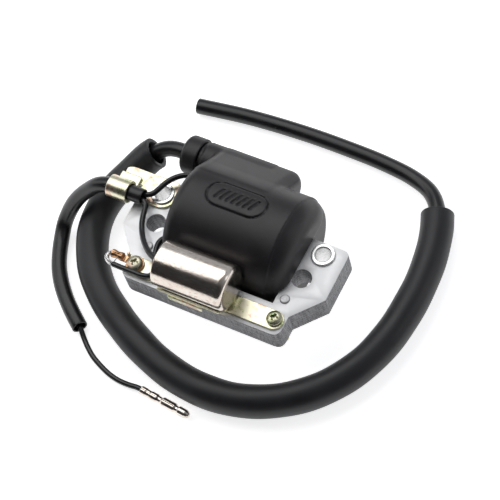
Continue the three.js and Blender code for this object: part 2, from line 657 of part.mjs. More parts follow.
// A flat plate under the left bush, with a strip that loops once round the sleeve and ends in a tab.
function leadClamp() {
  const { left, right, bore, loopY, front, back, plateRight, tabEnd } = clamp;
  const earEdge = -core.halfLength - GAP;
  const base = plate(roundedOutline([
    [left + 0.8, back, 1.5], [left + 0.8, 2.4, 0], [earEdge, 2.4, 0], [earEdge, front, 1],
    [plateRight, front, 4], [plateRight, back, 4],
  ]), coreTop, stripTop);
  const middle = bore + sheet / 2;
  const stripZ = coreTop + sheet / 2;
  const tabZ = stripZ + sheet + GAP;
  const loop = arc(loopY, loopZ, middle, -90, -390, 20);
  const line = [[3, stripZ], ...loop, [2.6, tabZ], [tabEnd, tabZ]];
  const strip = profileX(ribbon(line, sheet - 0.04), left, right);
  return carve([base, strip], [
    rodZ(coreTop - 1, stripTop + 1, bush.outer + GAP / 2, -bush.x, bush.y),
  ]);
}

addPiece('lead_clamp', leadClamp(), zincYellow);

// ---------------------------------------------------------------- low-tension wires

addPiece('wire_sleeve', tube(wireSleeveRoute, wire.sleeveRadius, { sides: 10, step: 6, bore: wire.sleeveBore }), sleeveBlack);
addPiece('primary_wire', tube(primaryRoute, wire.radius, { step: 3.2 }), leadBlack);
addPiece('condenser_wire', tube(condenserWireRoute, wire.radius, { step: 2.4 }), leadBlack);
addPiece('ground_wire', tube(groundWireRoute, wire.thinRadius, { step: 2.4 }), leadBlack);
addPiece('ground_strand', tube(groundStrandRoute, wire.strandRadius, { step: 1.4 }), copper);

// A crimped bullet terminal on the end of the primary wire, lying on the bench.
function bulletShape() {
  const { length, crimpRadius, barrelRadius, neckRadius, wireBore } = bullet;
  const wireEnd = new THREE.Vector3(...primaryRoute.at(-1));
  const wireBefore = new THREE.Vector3(...primaryRoute.at(-2));
  const shape = turnedX([
    [-1.8, wireBore], [-1.8, crimpRadius], [6, crimpRadius], [6.8, neckRadius + 0.3], [8.4, neckRadius + 0.3],
    [9.2, barrelRadius], [15.2, barrelRadius], [15.8, neckRadius + 0.2], [16.8, neckRadius + 0.2],
    [17.4, barrelRadius - 0.1], [length - 1.8, barrelRadius - 0.1], [length - 0.5, 1.3], [length, 0.6],
    [length, 0], [GAP, 0], [GAP, wireBore],
  ], 0, 0, 16);
  const heading = Math.atan2(wireEnd.y - wireBefore.y, wireEnd.x - wireBefore.x);
  return shape.rotateZ(heading).translate(wireEnd.x, wireEnd.y, wireEnd.z);
}

addPiece('bullet_terminal', bulletShape(), nickel);

export default ignitionCoil;
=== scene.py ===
# %% [markdown]
# # The looks of an ignition coil
#
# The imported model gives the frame: every size, every joint and where each piece sits. This notebook builds
# the visible surfaces round that frame. Lengths are in millimetres, like a workshop drawing, and are
# turned into metres in one place, where a mesh is made.

# %% Load the frame
import math

import bmesh
import bpy
import numpy as np
from mathutils import Matrix, Vector


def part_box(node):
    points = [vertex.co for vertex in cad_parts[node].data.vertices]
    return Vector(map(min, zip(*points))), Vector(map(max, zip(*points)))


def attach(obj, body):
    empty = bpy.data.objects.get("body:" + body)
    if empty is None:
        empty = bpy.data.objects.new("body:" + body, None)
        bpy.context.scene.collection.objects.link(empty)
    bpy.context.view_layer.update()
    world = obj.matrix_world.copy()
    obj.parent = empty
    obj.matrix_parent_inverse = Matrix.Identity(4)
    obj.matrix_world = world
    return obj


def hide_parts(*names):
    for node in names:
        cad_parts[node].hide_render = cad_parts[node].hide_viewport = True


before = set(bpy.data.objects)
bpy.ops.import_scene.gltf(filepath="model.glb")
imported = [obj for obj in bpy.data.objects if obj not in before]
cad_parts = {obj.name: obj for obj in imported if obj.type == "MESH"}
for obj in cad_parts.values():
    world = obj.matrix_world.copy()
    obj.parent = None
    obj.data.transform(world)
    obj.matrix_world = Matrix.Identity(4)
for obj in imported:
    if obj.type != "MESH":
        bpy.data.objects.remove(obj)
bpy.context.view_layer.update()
MM = 0.001
print("nodes in the frame:", len(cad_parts))


def span(node):
    """The lowest and highest corners of a node of the frame, in millimetres."""
    return [np.array(corner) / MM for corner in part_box(node)]


# %% [markdown]
# ## Camera and light
#
# The coil is seen from above its front right corner, with a long lens, so its edges stay nearly parallel.
# A camera looks along its own -Z. Its three axes, written as the columns of a matrix, say exactly how it
# is held, with the small roll included, which a target point alone would lose.

# %% The camera
EYE = Vector((300.707, -305.533, 766.517)) * MM
RIGHT = Vector((0.87728, 0.45053, -0.16556))
UP = Vector((-0.33375, 0.82046, 0.46418))
SENSOR = 36
LENS = 147.54

camera = bpy.data.objects.new("camera", bpy.data.cameras.new("camera"))
bpy.context.scene.collection.objects.link(camera)
turn = Matrix((RIGHT, UP, RIGHT.cross(UP))).transposed().to_4x4()
camera.matrix_world = Matrix.Translation(EYE) @ turn
camera.data.sensor_width = SENSOR
camera.data.lens = LENS
camera.data.clip_start = 0.01
camera.data.clip_end = 20
bpy.context.scene.camera = camera
bpy.context.scene.view_settings.view_transform = "Standard"
print("camera distance:", round(EYE.length, 3), "m")

# %% [markdown]
# Bright metal shows what stands round it. One broad soft box overhead and a little behind lays the long
# white band on the condenser and leaves its front side dark. The world is a plain pale grey, brighter
# overhead than in front, and the floor is nearly white.


# %% The studio
def area_light(name, place, size, power, aim=(0, 0, 0)):
    """A soft box at a place, aimed at a point. All in metres and watts."""
    light = bpy.data.lights.new(name, "AREA")
    light.shape = "RECTANGLE"
    light.size, light.size_y = size
    light.energy = power
    holder = bpy.data.objects.new(name, light)
    holder.location = place
    holder.rotation_euler = (Vector(aim) - Vector(place)).to_track_quat("-Z", "Y").to_euler()
    bpy.context.scene.collection.objects.link(holder)
    return holder


area_light("overhead_box", (-0.28, 0.16, 0.62), (0.85, 0.42), 2.1)
area_light("left_box", (-0.75, -0.1, 0.35), (0.4, 0.5), 0.7)
area_light("right_box", (0.8, 0.35, 0.45), (0.3, 0.6), 0.5)

# %% [markdown]
# ## Tools for finishes
#
# A finish is a small sum of noises, masks and colours. Written as nodes it is hard to read, so a class
# wraps an output socket and takes part in Python expressions. `1 - mask` adds a Math node, and `make` adds
# any other node: its settings first, and then its sockets, from values or from links.


# %% A socket that takes part in sums
class Socket:
    """An output socket of a node tree."""

    def __init__(self, tree, output):
        self.tree = tree
        self.output = output

    def make(self, kind, settings=None, inputs=None, output=0):
        """Adds a node of a kind and gives one of its outputs."""
        node = self.tree.nodes.new("ShaderNode" + kind)
        for key, value in (settings or {}).items():
            if key == "stops":
                set_stops(node.color_ramp, value)
            else:
                setattr(node, key, value)
        for key, value in (inputs or {}).items():
            if isinstance(value, Socket):
                self.tree.links.new(value.output, node.inputs[key])
            else:
                node.inputs[key].default_value = value
        return Socket(self.tree, node.outputs[output])

    def math(self, operation, first, second):
        return self.make("Math", {"operation": operation}, {0: first, 1: second})

    def __add__(self, other):
        return self.math("ADD", self, other)

    def __mul__(self, other):
        return self.math("MULTIPLY", self, other)

    def __sub__(self, other):
        return self.math("SUBTRACT", self, other)

    def __rsub__(self, other):
        return self.math("SUBTRACT", other, self)

    __radd__ = __add__
    __rmul__ = __mul__

    def noise(self, size, detail=3.0, stretch=(1, 1, 1)):
        """Cloudy noise from 0 to 1, with blotches of a size in millimetres, drawn out along the axes."""
        scale = tuple(1 / s for s in stretch)
        place = self.make("Mapping", {}, {"Vector": self, "Scale": scale})
        return place.make("TexNoise", {}, {"Vector": place, "Scale": 1 / (size * MM), "Detail": detail})

    def ramp(self, low, high, first=0.0, last=1.0):
        """Runs from first to last as the value runs from low to high."""
        inputs = {"Value": self, "From Min": low, "From Max": high, "To Min": first, "To Max": last}
        return self.make("MapRange", {"clamp": True}, inputs)

    def tint(self, first, last):
        """Mixes two colours by this mask."""
        inputs = {0: self}
        for index, colour in ((6, first), (7, last)):
            inputs[index] = colour if isinstance(colour, Socket) else (*colour, 1)
        return self.make("Mix", {"data_type": "RGBA"}, inputs, 2)

    def bump(self, height, strength=1.0):
        """A normal from a relief of this value, height millimetres high."""
        inputs = {"Height": self, "Distance": height * MM, "Strength": strength}
        return self.make("Bump", {}, inputs, "Normal")


def set_stops(ramp, stops):
    """Gives a colour ramp its stops: (position, (r, g, b))."""
    while len(ramp.elements) < len(stops):
        ramp.elements.new(0.5)
    for element, (position, colour) in zip(ramp.elements, stops):
        element.position = position
        element.color = (*colour, 1)


class Finish:
    """A material with one Principled shader. Fixed values are set on the shader's own sockets."""

    def __init__(self, name, **fixed):
        self.material = bpy.data.materials.new(name)
        self.material.use_nodes = True
        tree = self.material.node_tree
        self.shader = tree.nodes["Principled BSDF"]
        for key, value in fixed.items():
            self.shader.inputs[key.replace("_", " ").title().replace("Ior", "IOR")].default_value = value
        coordinates = tree.nodes.new("ShaderNodeTexCoord")
        self.place = Socket(tree, coordinates.outputs["Object"])
        geometry = tree.nodes.new("ShaderNodeNewGeometry")
        self.facing = Socket(tree, geometry.outputs["Normal"])

    def feed(self, **channels):
        for key, value in channels.items():
            socket = self.shader.inputs[key.replace("_", " ").title()]
            if isinstance(value, Socket):
                value.tree.links.new(value.output, socket)
            else:
                socket.default_value = value
        return self


# %% [markdown]
# The room behind the camera is dark and the far side is pale, which gives the bright metal its dark bands.

# %% The room
world = bpy.data.worlds.new("room")
world.use_nodes = True
direction = world.node_tree.nodes.new("ShaderNodeTexCoord")
toward = Socket(world.node_tree, direction.outputs["Generated"])
far_side = toward.make("SeparateXYZ", {}, {"Vector": toward}, "Y").ramp(-0.5, 0.5)
room = far_side.tint((0.035, 0.035, 0.038), (0.42, 0.43, 0.45))
world.node_tree.links.new(room.output, world.node_tree.nodes["Background"].inputs["Color"])
bpy.context.scene.world = world
print("room:", len(world.node_tree.nodes), "nodes")

# %% [markdown]
# ## Finishes
#
# Each finish starts from how the real surface is made. Bright plated steel is nearly white and faintly
# brushed, and its cut edges are grey. Yellow chromate is a thin film, so its colour wanders between straw,
# green and rose. Moulded phenolic is a satin black with a fine grain, and plastic insulation is a black
# whose gloss is broken by faint marks along the lead.


# %% Steel finishes
def sheet_steel():
    finish = Finish("sheet_steel")
    place, facing = finish.place, finish.facing
    up = facing.make("SeparateXYZ", {}, {"Vector": facing}, "Z")
    top = up.math("ABSOLUTE", up, 0).ramp(0.55, 0.8)
    clouds = place.noise(9)
    brushed = place.noise(0.5, 4, (14, 1, 1))
    grains = place.noise(0.35, 2)
    bright = clouds.ramp(0.3, 0.7).tint((0.84, 0.842, 0.85), (0.93, 0.93, 0.935))
    cut_edge = place.noise(0.8, 4, (1, 1, 6)).ramp(0.35, 0.7).tint((0.2, 0.2, 0.21), (0.46, 0.46, 0.48))
    rough_top = 0.4 + brushed * 0.12 + clouds * 0.08
    relief = brushed * 0.6 + grains * 0.4
    return finish.feed(
        base_color=top.tint(cut_edge, bright),
        metallic=top.ramp(0, 1, 0.35, 0.62),
        roughness=top * rough_top + (1 - top) * 0.55,
        normal=relief.bump(0.012, 0.6),
    ).material


def bright_steel():
    finish = Finish("bright_steel", metallic=1.0)
    place = finish.place
    clouds = place.noise(2.5)
    fine = place.noise(0.25, 3)
    return finish.feed(
        base_color=clouds.ramp(0.3, 0.7).tint((0.7, 0.7, 0.7), (0.84, 0.84, 0.83)),
        roughness=clouds * 0.12 + 0.18 + fine * 0.06,
        normal=fine.bump(0.006, 0.5),
    ).material


def zinc_yellow(name, shade, roughness):
    """Chromate film over zinc. Its colour wanders from green through straw to rose with its thickness."""
    finish = Finish(name, metallic=1.0)
    place = finish.place
    film = place.noise(6, 3) * 0.7 + place.noise(2, 3) * 0.3
    film_colours = (
        (0.3, (0.36, 0.5, 0.27)),
        (0.4, (0.66, 0.68, 0.42)),
        (0.47, (0.84, 0.81, 0.6)),
        (0.56, (0.86, 0.82, 0.64)),
        (0.62, (0.74, 0.5, 0.38)),
        (0.7, (0.5, 0.55, 0.36)),
    )
    stops = tuple((at, tuple(value * shade for value in colour)) for at, colour in film_colours)
    colour = film.make("ValToRGB", {"stops": stops}, {"Fac": film}, "Color")
    fine = place.noise(0.3, 3)
    return finish.feed(
        base_color=colour,
        roughness=film.ramp(0.3, 0.7, roughness, roughness + 0.1) + fine * 0.05,
        normal=fine.bump(0.006, 0.6),
    ).material


def nickel():
    finish = Finish("nickel", metallic=1.0)
    place = finish.place
    clouds = place.noise(5, 4, (3, 1, 1))
    fine = place.noise(0.6, 4, (2.5, 1, 1))
    specks = place.noise(0.8, 5, (2, 1, 1)).ramp(0.52, 0.66)
    clean = clouds.ramp(0.35, 0.65).tint((0.68, 0.59, 0.52), (0.8, 0.75, 0.69))
    colour = (specks * 0.5).tint(clean, (0.46, 0.36, 0.29))
    return finish.feed(
        base_color=colour,
        roughness=clouds.ramp(0.3, 0.7, 0.1, 0.2) + fine * 0.05,
        normal=fine.bump(0.022, 0.8),
    ).material


print("steel finishes ready")


# %% Copper and brass
def warm_metal(name, dark, light, roughness):
    """Copper or brass that has begun to tarnish."""
    finish = Finish(name, metallic=1.0)
    place = finish.place
    tarnish = place.noise(1.8, 4)
    fine = place.noise(0.2, 2)
    return finish.feed(
        base_color=tarnish.ramp(0.35, 0.65).tint(dark, light),
        roughness=tarnish.ramp(0.3, 0.7, roughness + 0.12, roughness),
        normal=fine.bump(0.005, 0.5),
    ).material


def wound_copper():
    """Enamelled wire, laid turn by turn along the bobbin."""
    finish = Finish("copper_winding", metallic=1.0)
    place = finish.place
    along = place.make("SeparateXYZ", {}, {"Vector": place}, "X")
    wire_pitch = 0.45
    turns = along.math("SINE", along * (2 * math.pi / (wire_pitch * MM)), 0)
    shade = place.noise(3)
    return finish.feed(
        base_color=shade.ramp(0.3, 0.7).tint((0.5, 0.22, 0.1), (0.72, 0.36, 0.17)),
        roughness=shade.ramp(0.3, 0.7, 0.25, 0.4),
        normal=turns.bump(0.1, 0.8),
    ).material


print("copper and brass ready")


# %% Plastics, rubber and paper
def case_black():
    finish = Finish("case_black")
    place = finish.place
    clouds = place.noise(11, 4)
    grain = place.noise(0.22, 3)
    dust = place.noise(1.6, 5).ramp(0.62, 0.8)
    body = clouds.ramp(0.3, 0.7).tint((0.0075, 0.0064, 0.0078), (0.0135, 0.0115, 0.0138))
    return finish.feed(
        base_color=(dust * 0.35).tint(body, (0.04, 0.037, 0.036)),
        roughness=clouds.ramp(0.3, 0.7, 0.36, 0.44) + grain * 0.08,
        normal=(grain + clouds * 0.4).bump(0.018, 0.55),
    ).material


def resin_black():
    finish = Finish("resin_black")
    place = finish.place
    flow = place.noise(6, 2)
    specks = place.noise(0.7, 4).ramp(0.6, 0.75)
    return finish.feed(
        base_color=specks.tint((0.007, 0.007, 0.008), (0.03, 0.028, 0.026)),
        roughness=flow.ramp(0.3, 0.7, 0.18, 0.34),
        normal=flow.bump(0.15, 0.5),
    ).material


def insulation(name, colour, roughness, drawn):
    """Extruded plastic: a soft black with faint marks, and scuffs where it has been handled."""
    finish = Finish(name)
    place = finish.place
    clouds = place.noise(14, 3)
    marks = place.noise(0.6, 3)
    scuffs = place.noise(2.4, 5).ramp(0.6, 0.78)
    lighter = tuple(value * 1.6 + 0.002 for value in colour)
    body = clouds.ramp(0.3, 0.7).tint(colour, lighter)
    return finish.feed(
        base_color=(scuffs * 0.3).tint(body, tuple(value * 2.4 + 0.008 for value in colour)),
        roughness=clouds.ramp(0.3, 0.7, roughness, roughness + 0.08) + scuffs * 0.08,
        normal=(marks * 0.5 + clouds).bump(drawn, 0.5),
    ).material


def plain_moulding(name, dark, light, roughness):
    """An unfilled moulding or rubber part with a fine grain."""
    finish = Finish(name)
    place = finish.place
    clouds = place.noise(4, 4)
    grain = place.noise(0.25, 3)
    return finish.feed(
        base_color=clouds.ramp(0.3, 0.7).tint(dark, light),
        roughness=clouds.ramp(0.3, 0.7, roughness, roughness + 0.12),
        normal=grain.bump(0.02, 0.5),
    ).material


FINISHES = {
    "sheet_steel": sheet_steel(),
    "bright_steel": bright_steel(),
    "zinc_yellow": zinc_yellow("zinc_yellow", 0.95, 0.22),
    "nickel": nickel(),
    "copper": warm_metal("copper", (0.42, 0.22, 0.11), (0.78, 0.47, 0.27), 0.22),
    "brass": warm_metal("brass", (0.46, 0.33, 0.13), (0.78, 0.6, 0.3), 0.24),
    "case_black": case_black(),
    "resin_black": resin_black(),
    "lead_black": insulation("lead_black", (0.006, 0.006, 0.007), 0.27, 0.03),
    "sleeve_black": insulation("sleeve_black", (0.009, 0.0095, 0.011), 0.42, 0.06),
    "rubber": plain_moulding("rubber", (0.014, 0.014, 0.015), (0.03, 0.03, 0.032), 0.6),
    "bobbin_plastic": plain_moulding("bobbin_plastic", (0.5, 0.43, 0.3), (0.66, 0.6, 0.46), 0.4),
    "paper": plain_moulding("paper", (0.42, 0.35, 0.23), (0.58, 0.5, 0.36), 0.7),
}
COPPER_WINDING = wound_copper()
TINNED = warm_metal("tinned", (0.5, 0.5, 0.5), (0.86, 0.86, 0.85), 0.2)
SCREW_ZINC = zinc_yellow("screw_zinc", 0.62, 0.2)
THIN_WIRE = insulation("wire_black", (0.012, 0.0125, 0.013), 0.16, 0.02)
VINYL = insulation("vinyl_black", (0.008, 0.008, 0.009), 0.26, 0.05)
print("finishes:", len(FINISHES))

# %% [markdown]
# ## Tools for shapes
#
# Three ways of making a surface cover this object.
#
# - A **turned** piece is an outline of (length, radius) points spun about an axis, as on a lathe.
# - A **bent** piece is the same outline, with its axis bent along a route: a lead or a sleeve.
# - A **grown** piece is written as a distance: a formula that is negative inside, zero on the surface and
#   positive outside. Adding, cutting and rounding are then one line each, and every edge gets the soft
#   radius that a die or a mould leaves. Blender has no such solid, so `grow` walks a grid, puts a point in
#   each cell that the surface crosses, joins neighbours with quads, and slides the points on to the surface.


# %% Making a piece
def add_piece(name, points, faces, slot, stands_for=(), body="coil", finish=None, sharp=42):
    """A mesh object from points in millimetres, with its finish, its body and the node it stands for."""
    mesh = bpy.data.meshes.new(name)
    mesh.from_pydata((np.asarray(points) * MM).tolist(), [], [list(map(int, face)) for face in faces])
    shell = bmesh.new()
    shell.from_mesh(mesh)
    bmesh.ops.recalc_face_normals(shell, faces=shell.faces)
    shell.to_mesh(mesh)
    shell.free()
    mesh.shade_smooth()
    mesh.set_sharp_from_angle(angle=math.radians(sharp))
    mesh.materials.append(finish or FINISHES[slot])
    piece = bpy.data.objects.new(name, mesh)
    bpy.context.scene.collection.objects.link(piece)
    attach(piece, body)
    if stands_for:
        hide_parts(*stands_for)
    print(f"{name}: {len(mesh.polygons)} faces")
    return piece


# %% Turned pieces
def eased(corners, radius=0.3, steps=4, closed=True):
    """Rounds the corners of an outline. A corner's third number is its own radius."""
    outline = []
    for i, corner in enumerate(corners):
        here = np.array(corner[:2], float)
        own = corner[2] if len(corner) > 2 else radius
        at_end = not closed and i in (0, len(corners) - 1)
        if own == 0 or at_end:
            outline.append(here)
            continue
        ways = [np.array(corners[k % len(corners)][:2], float) - here for k in (i - 1, i + 1)]
        lengths = [np.linalg.norm(way) for way in ways]
        reach = min(own, *(0.48 * length for length in lengths))
        start, end = (here + way / length * reach for way, length in zip(ways, lengths))
        for t in np.linspace(0, 1, steps + 1):
            outline.append((1 - t) ** 2 * start + 2 * t * (1 - t) * here + t * t * end)
    return np.array(outline)


def spin(outline, sides):
    """Spins (length, radius) points about the length. Gives points (length, across, up) and faces."""
    closed = outline[0][1] > 0
    rings = np.array(outline if closed else outline[1:-1], float)
    angles = np.arange(sides) * 2 * np.pi / sides
    points = np.stack([
        np.repeat(rings[:, 0], sides),
        np.outer(rings[:, 1], np.cos(angles)).ravel(),
        np.outer(rings[:, 1], np.sin(angles)).ravel(),
    ], 1)
    count = len(rings)
    i = np.arange(count if closed else count - 1)[:, None]
    j = np.arange(sides)[None]
    k, l = (i + 1) % count, (j + 1) % sides
    faces = np.stack(np.broadcast_arrays(i * sides + j, i * sides + l, k * sides + l, k * sides + j), -1)
    faces = faces.reshape(-1, 4).tolist()
    if not closed:
        for ring, end in ((0, outline[0]), (count - 1, outline[-1])):
            points = np.vstack([points, [end[0], 0, 0]])
            first = ring * sides
            faces += [[len(points) - 1, first + s, first + (s + 1) % sides] for s in range(sides)]
    return points, faces


def turned_x(outline, y, z, sides=96):
    """A turned piece with its axis along X."""
    points, faces = spin(outline, sides)
    return points + (0, y, z), faces


def turned_z(outline, x, y, sides=96):
    """A turned piece with its axis along Z."""
    points, faces = spin(outline, sides)
    return points[:, [1, 2, 0]] + (x, y, 0), faces


print("an eased square has", len(eased([(0, 0), (1, 0), (1, 1), (0, 1)])), "points")


# %% Bent pieces
def smooth_route(chosen, step=1.5):
    """Points a step apart on the smooth curve through the chosen points."""
    chosen = np.array(chosen, float)
    whole = np.vstack([2 * chosen[0] - chosen[1], chosen, 2 * chosen[-1] - chosen[-2]])
    fine = []
    for p in (whole[i:i + 4] for i in range(len(chosen) - 1)):
        knots = np.concatenate([[0], np.cumsum(np.linalg.norm(np.diff(p, axis=0), axis=1) ** 0.5)])
        t = np.linspace(knots[1], knots[2], 24, endpoint=False)[:, None]

        def between(first, last, a, b):
            return ((knots[b] - t) * first + (t - knots[a]) * last) / (knots[b] - knots[a])

        a1, a2, a3 = (between(p[i], p[i + 1], i, i + 1) for i in range(3))
        b1, b2 = between(a1, a2, 0, 2), between(a2, a3, 1, 3)
        fine.append(between(b1, b2, 1, 2))
    fine = np.vstack([*fine, chosen[-1:]])
    along = np.concatenate([[0], np.cumsum(np.linalg.norm(np.diff(fine, axis=0), axis=1))])
    at = np.linspace(0, along[-1], int(along[-1] / step) + 2)
    return np.stack([np.interp(at, along, fine[:, k]) for k in range(3)], 1)


def bend(points, line):
    """Moves points made along the length on to a route, without twisting them."""
    along = np.concatenate([[0], np.cumsum(np.linalg.norm(np.diff(line, axis=0), axis=1))])
    tangents = np.gradient(line, axis=0)
    tangents /= np.linalg.norm(tangents, axis=1)[:, None]
    side = np.cross(tangents[0], (0, 0, 1))
    sides = []
    for tangent in tangents:
        side = side - tangent * (side @ tangent)
        side = side / np.linalg.norm(side)
        sides.append(side)
    ups = np.cross(sides, tangents)

    def at(values):
        return np.stack([np.interp(points[:, 0], along, np.array(values)[:, k]) for k in range(3)], 1)

    return at(line) + at(sides) * points[:, 1:2] + at(ups) * points[:, 2:3]


def length_of(line):
    return float(np.linalg.norm(np.diff(line, axis=0), axis=1).sum())


def hose_outline(length, radius, bore=0.0, lip=0.3, step=1.5, wander=0.0):
    """The outline of a hose or a wire: square-cut ends with a small lip, and a bore right through."""
    stations = np.linspace(lip, length - lip, int(length / step) + 2)
    waves = np.sin(stations * 0.31) * 0.6 + np.sin(stations * 0.13 + 1.7) * 0.4
    fade = np.clip(np.minimum(stations, length - stations) / 12, 0, 1)
    outside = np.stack([stations, radius - wander + wander * waves * fade], 1)
    curl = [(lip * (1 - math.cos(a)), lip * (1 - math.sin(a))) for a in np.linspace(0, math.pi / 2, 4)]
    start = [(s, radius - wander - drop) for s, drop in curl[:-1]]
    end = [(length - s, r) for s, r in start[::-1]]
    if bore == 0:
        return [(0, 0), *start, *outside, *end, (length, 0)]
    inside = [(length - s, bore) for s in np.linspace(0.2, length - 0.2, int(length / (2 * step)) + 2)]
    return [*start, *outside, *end, (length, bore + 0.2), *inside, (0, bore + 0.2)]


print("a straight 60 mm test route:", round(length_of(smooth_route([(0, 0, 0), (30, 0, 0), (60, 0, 0)])), 3))


# %% Grown pieces
def joined(a, b, soft=0.4):
    """Two distances as one solid, with a fillet where they meet."""
    share = np.clip(0.5 + 0.5 * (b - a) / soft, 0, 1)
    return b + (a - b) * share - soft * share * (1 - share)


def cut(a, b, soft=0.3):
    """The first solid without the second, with an eased edge."""
    return -joined(-a, b, soft)


def both(a, b, soft=0.3):
    """Only what lies in both solids, with an eased edge."""
    return -joined(-a, -b, soft)


def box_distance(p, low, high, round_by=0.2):
    """A block between two corners."""
    low, high = np.array(low, float), np.array(high, float)
    outside = np.abs(p - (low + high) / 2) - (high - low) / 2 + round_by
    reach = np.linalg.norm(np.maximum(outside, 0), axis=-1)
    return reach + np.minimum(outside.max(-1), 0) - round_by


def raised(flat, height, low, high, round_by=0.2):
    """A flat distance drawn out between two heights."""
    outside = np.stack([flat + round_by, np.abs(height - (low + high) / 2) - (high - low) / 2 + round_by], -1)
    reach = np.linalg.norm(np.maximum(outside, 0), axis=-1)
    return reach + np.minimum(outside.max(-1), 0) - round_by


def rod_distance(p, axis, centre, radius, low, high, round_by=0.2):
    """A rod along an axis, 0, 1 or 2, with its centre given on the other two."""
    others = [k for k in range(3) if k != axis]
    flat = np.hypot(p[..., others[0]] - centre[0], p[..., others[1]] - centre[1]) - radius
    return raised(flat, p[..., axis], low, high, round_by)


def slot_distance(u, v, half_length, radius):
    """A flat shape with straight sides and round ends, centred on the origin."""
    return np.hypot(np.maximum(np.abs(u) - half_length, 0), v) - radius


def grow(distance, low, high, cell, rounds=3):
    """Points and quads on the surface where a distance is zero, inside a box."""
    axes = [np.arange(a - 1.5 * cell, b + 2.5 * cell, cell) for a, b in zip(low, high)]
    inside = distance(np.stack(np.meshgrid(*axes, indexing="ij"), -1)) < 0
    ends = (slice(None, -1), slice(1, None))
    corners = sum(inside[a, b, c].astype(np.int8) for a in ends for b in ends for c in ends)
    mixed = (corners > 0) & (corners < 8)
    number = np.full(mixed.shape, -1)
    number[mixed] = np.arange(mixed.sum())
    points = np.stack([axes[k][at] for k, at in enumerate(np.nonzero(mixed))], 1) + cell / 2
    quads = []
    for axis in range(3):
        order = (axis, (axis + 1) % 3, (axis + 2) % 3)
        grid, cells = np.transpose(inside, order), np.transpose(number, order)
        before, after = grid[:-1, 1:-1, 1:-1], grid[1:, 1:-1, 1:-1]
        four = np.stack([cells[:, :-1, :-1], cells[:, 1:, :-1], cells[:, 1:, 1:], cells[:, :-1, 1:]], -1)
        quads += [four[before & ~after], four[~before & after][:, ::-1]]
    quads = np.concatenate(quads)
    for _ in range(rounds):
        points = settle(distance, relaxed(points, quads), cell)
    return points, quads


def relaxed(points, quads):
    """Each point moved to the middle of its neighbours, which evens the quads out."""
    total, count = np.zeros_like(points), np.zeros(len(points))
    for a, b in ((0, 1), (1, 2), (2, 3), (3, 0)):
        for here, there in ((quads[:, a], quads[:, b]), (quads[:, b], quads[:, a])):
            np.add.at(total, here, points[there])
            np.add.at(count, here, 1)
    return total / count[:, None]


def settle(distance, points, cell):
    """Slides points on to the surface, straight down the distance's slope."""
    small = cell * 0.05
    for _ in range(2):
        now = distance(points)
        slope = np.stack([
            distance(points + step * small) - distance(points - step * small) for step in np.eye(3)
        ], 1) / (2 * small)
        steepness = np.maximum((slope ** 2).sum(1), 0.3)
        step = np.clip(now / steepness, -cell, cell)
        points = points - slope * step[:, None]
    return points


ball = grow(lambda p: np.linalg.norm(p, axis=-1) - 2, (-2, -2, -2), (2, 2, 2), 0.5)
print("a grown ball has", len(ball[1]), "quads")

# %% [markdown]
# ## The leads and sleeves
#
# The high-tension lead is 7 mm silicone or PVC cable. It leaves the tower, drops to the bench and runs once
# round the coil in a loose sleeve, which stops short at both ends. Its route is a list of given points,
# the same as in the frame, and a smooth curve goes through them.

# %% Routes
LEAD_ROUTE = [
    (-8, 26.8, 23.5), (-25, 26.8, 23.5), (-41, 26.8, 23.5), (-45, 26.8, 23.5),
    (-49.8, 26.2, 22.6), (-54, 24.4, 20.8), (-57.4, 21.5, 18.8), (-60.3, 17.2, 16.7),
    (-63.3, 12.1, 14.5), (-66.2, 7, 12.4), (-69, 0, 9.8), (-70, -7.5, 7.8),
    (-68.6, -15.6, 7.25), (-64.6, -24.4, 7.25), (-58.6, -33, 7.25), (-50.2, -40.9, 7.25),
    (-39.8, -47.8, 7.25), (-28, -54.1, 7.25), (-15.8, -59.2, 7.25), (-3.2, -62.7, 7.25),
    (9.6, -64.2, 7.25), (22.4, -63.4, 7.25), (34.6, -59.9, 7.25), (45.8, -53.9, 7.25),
    (55.4, -45.8, 7.25), (63, -36, 7.25), (68.6, -24.9, 7.25), (72.1, -12.6, 7.25),
    (73.7, 0.6, 7.25), (73.9, 13.8, 7.25), (72.6, 27, 7.25), (69.6, 39.6, 7.25),
    (65.6, 49, 6.9), (59, 56.4, 5.4), (48.6, 60.9, 3.9), (34, 63.1, 3.5),
    (16, 63.9, 3.5), (-6, 63.9, 3.5), (-32, 62.4, 3.5), (-56.8, 59.2, 3.5),
]
LEAD_SLEEVE_ROUTE = [(-55.3, 23.35, 20.1), *LEAD_ROUTE[6:32], (66.6, 47.2, 7.1)]
WIRE_SLEEVE_ROUTE = [
    (-43.2, -4.2, 34.4), (-50, -4.2, 34.4), (-58.6, -4.2, 34.4), (-64.6, -4.9, 32.6),
    (-71.4, -6.8, 26.4), (-77.5, -9.7, 18.9), (-81.3, -13.1, 11.8), (-83, -17.6, 6.2),
    (-81.9, -23.2, 3.8), (-79.2, -30, 3.5), (-75.7, -36.5, 3.5), (-71.2, -42.4, 3.5),
    (-65.9, -47.8, 3.5), (-59.9, -52.8, 3.5), (-53.1, -57.8, 3.5),
]
PRIMARY_ROUTE = [
    (-25.5, 12.5, 35), (-30.3, 12, 35), (-34.4, 9.4, 35), (-37.3, 5.4, 34.9),
    (-38.9, 1.6, 34.7), (-40.3, -1.2, 34.5), (-43.2, -2.8, 34.4), (-50, -2.8, 34.4),
    (-58.6, -3, 34.4), (-64.6, -4.5, 32.6), *WIRE_SLEEVE_ROUTE[4:14], (-53.1, -57.8, 3.2),
    (-49.9, -60.9, 2), (-46.6, -63.8, 1.4), (-42.2, -66.9, 1.2), (-37.2, -69.3, 1.2),
    (-31.8, -71.3, 1.2), (-26.4, -72.4, 1.3), (-21.2, -72.6, 1.7), (-16.8, -72.35, 2.1), (-13, -72.75, 2.1),
]
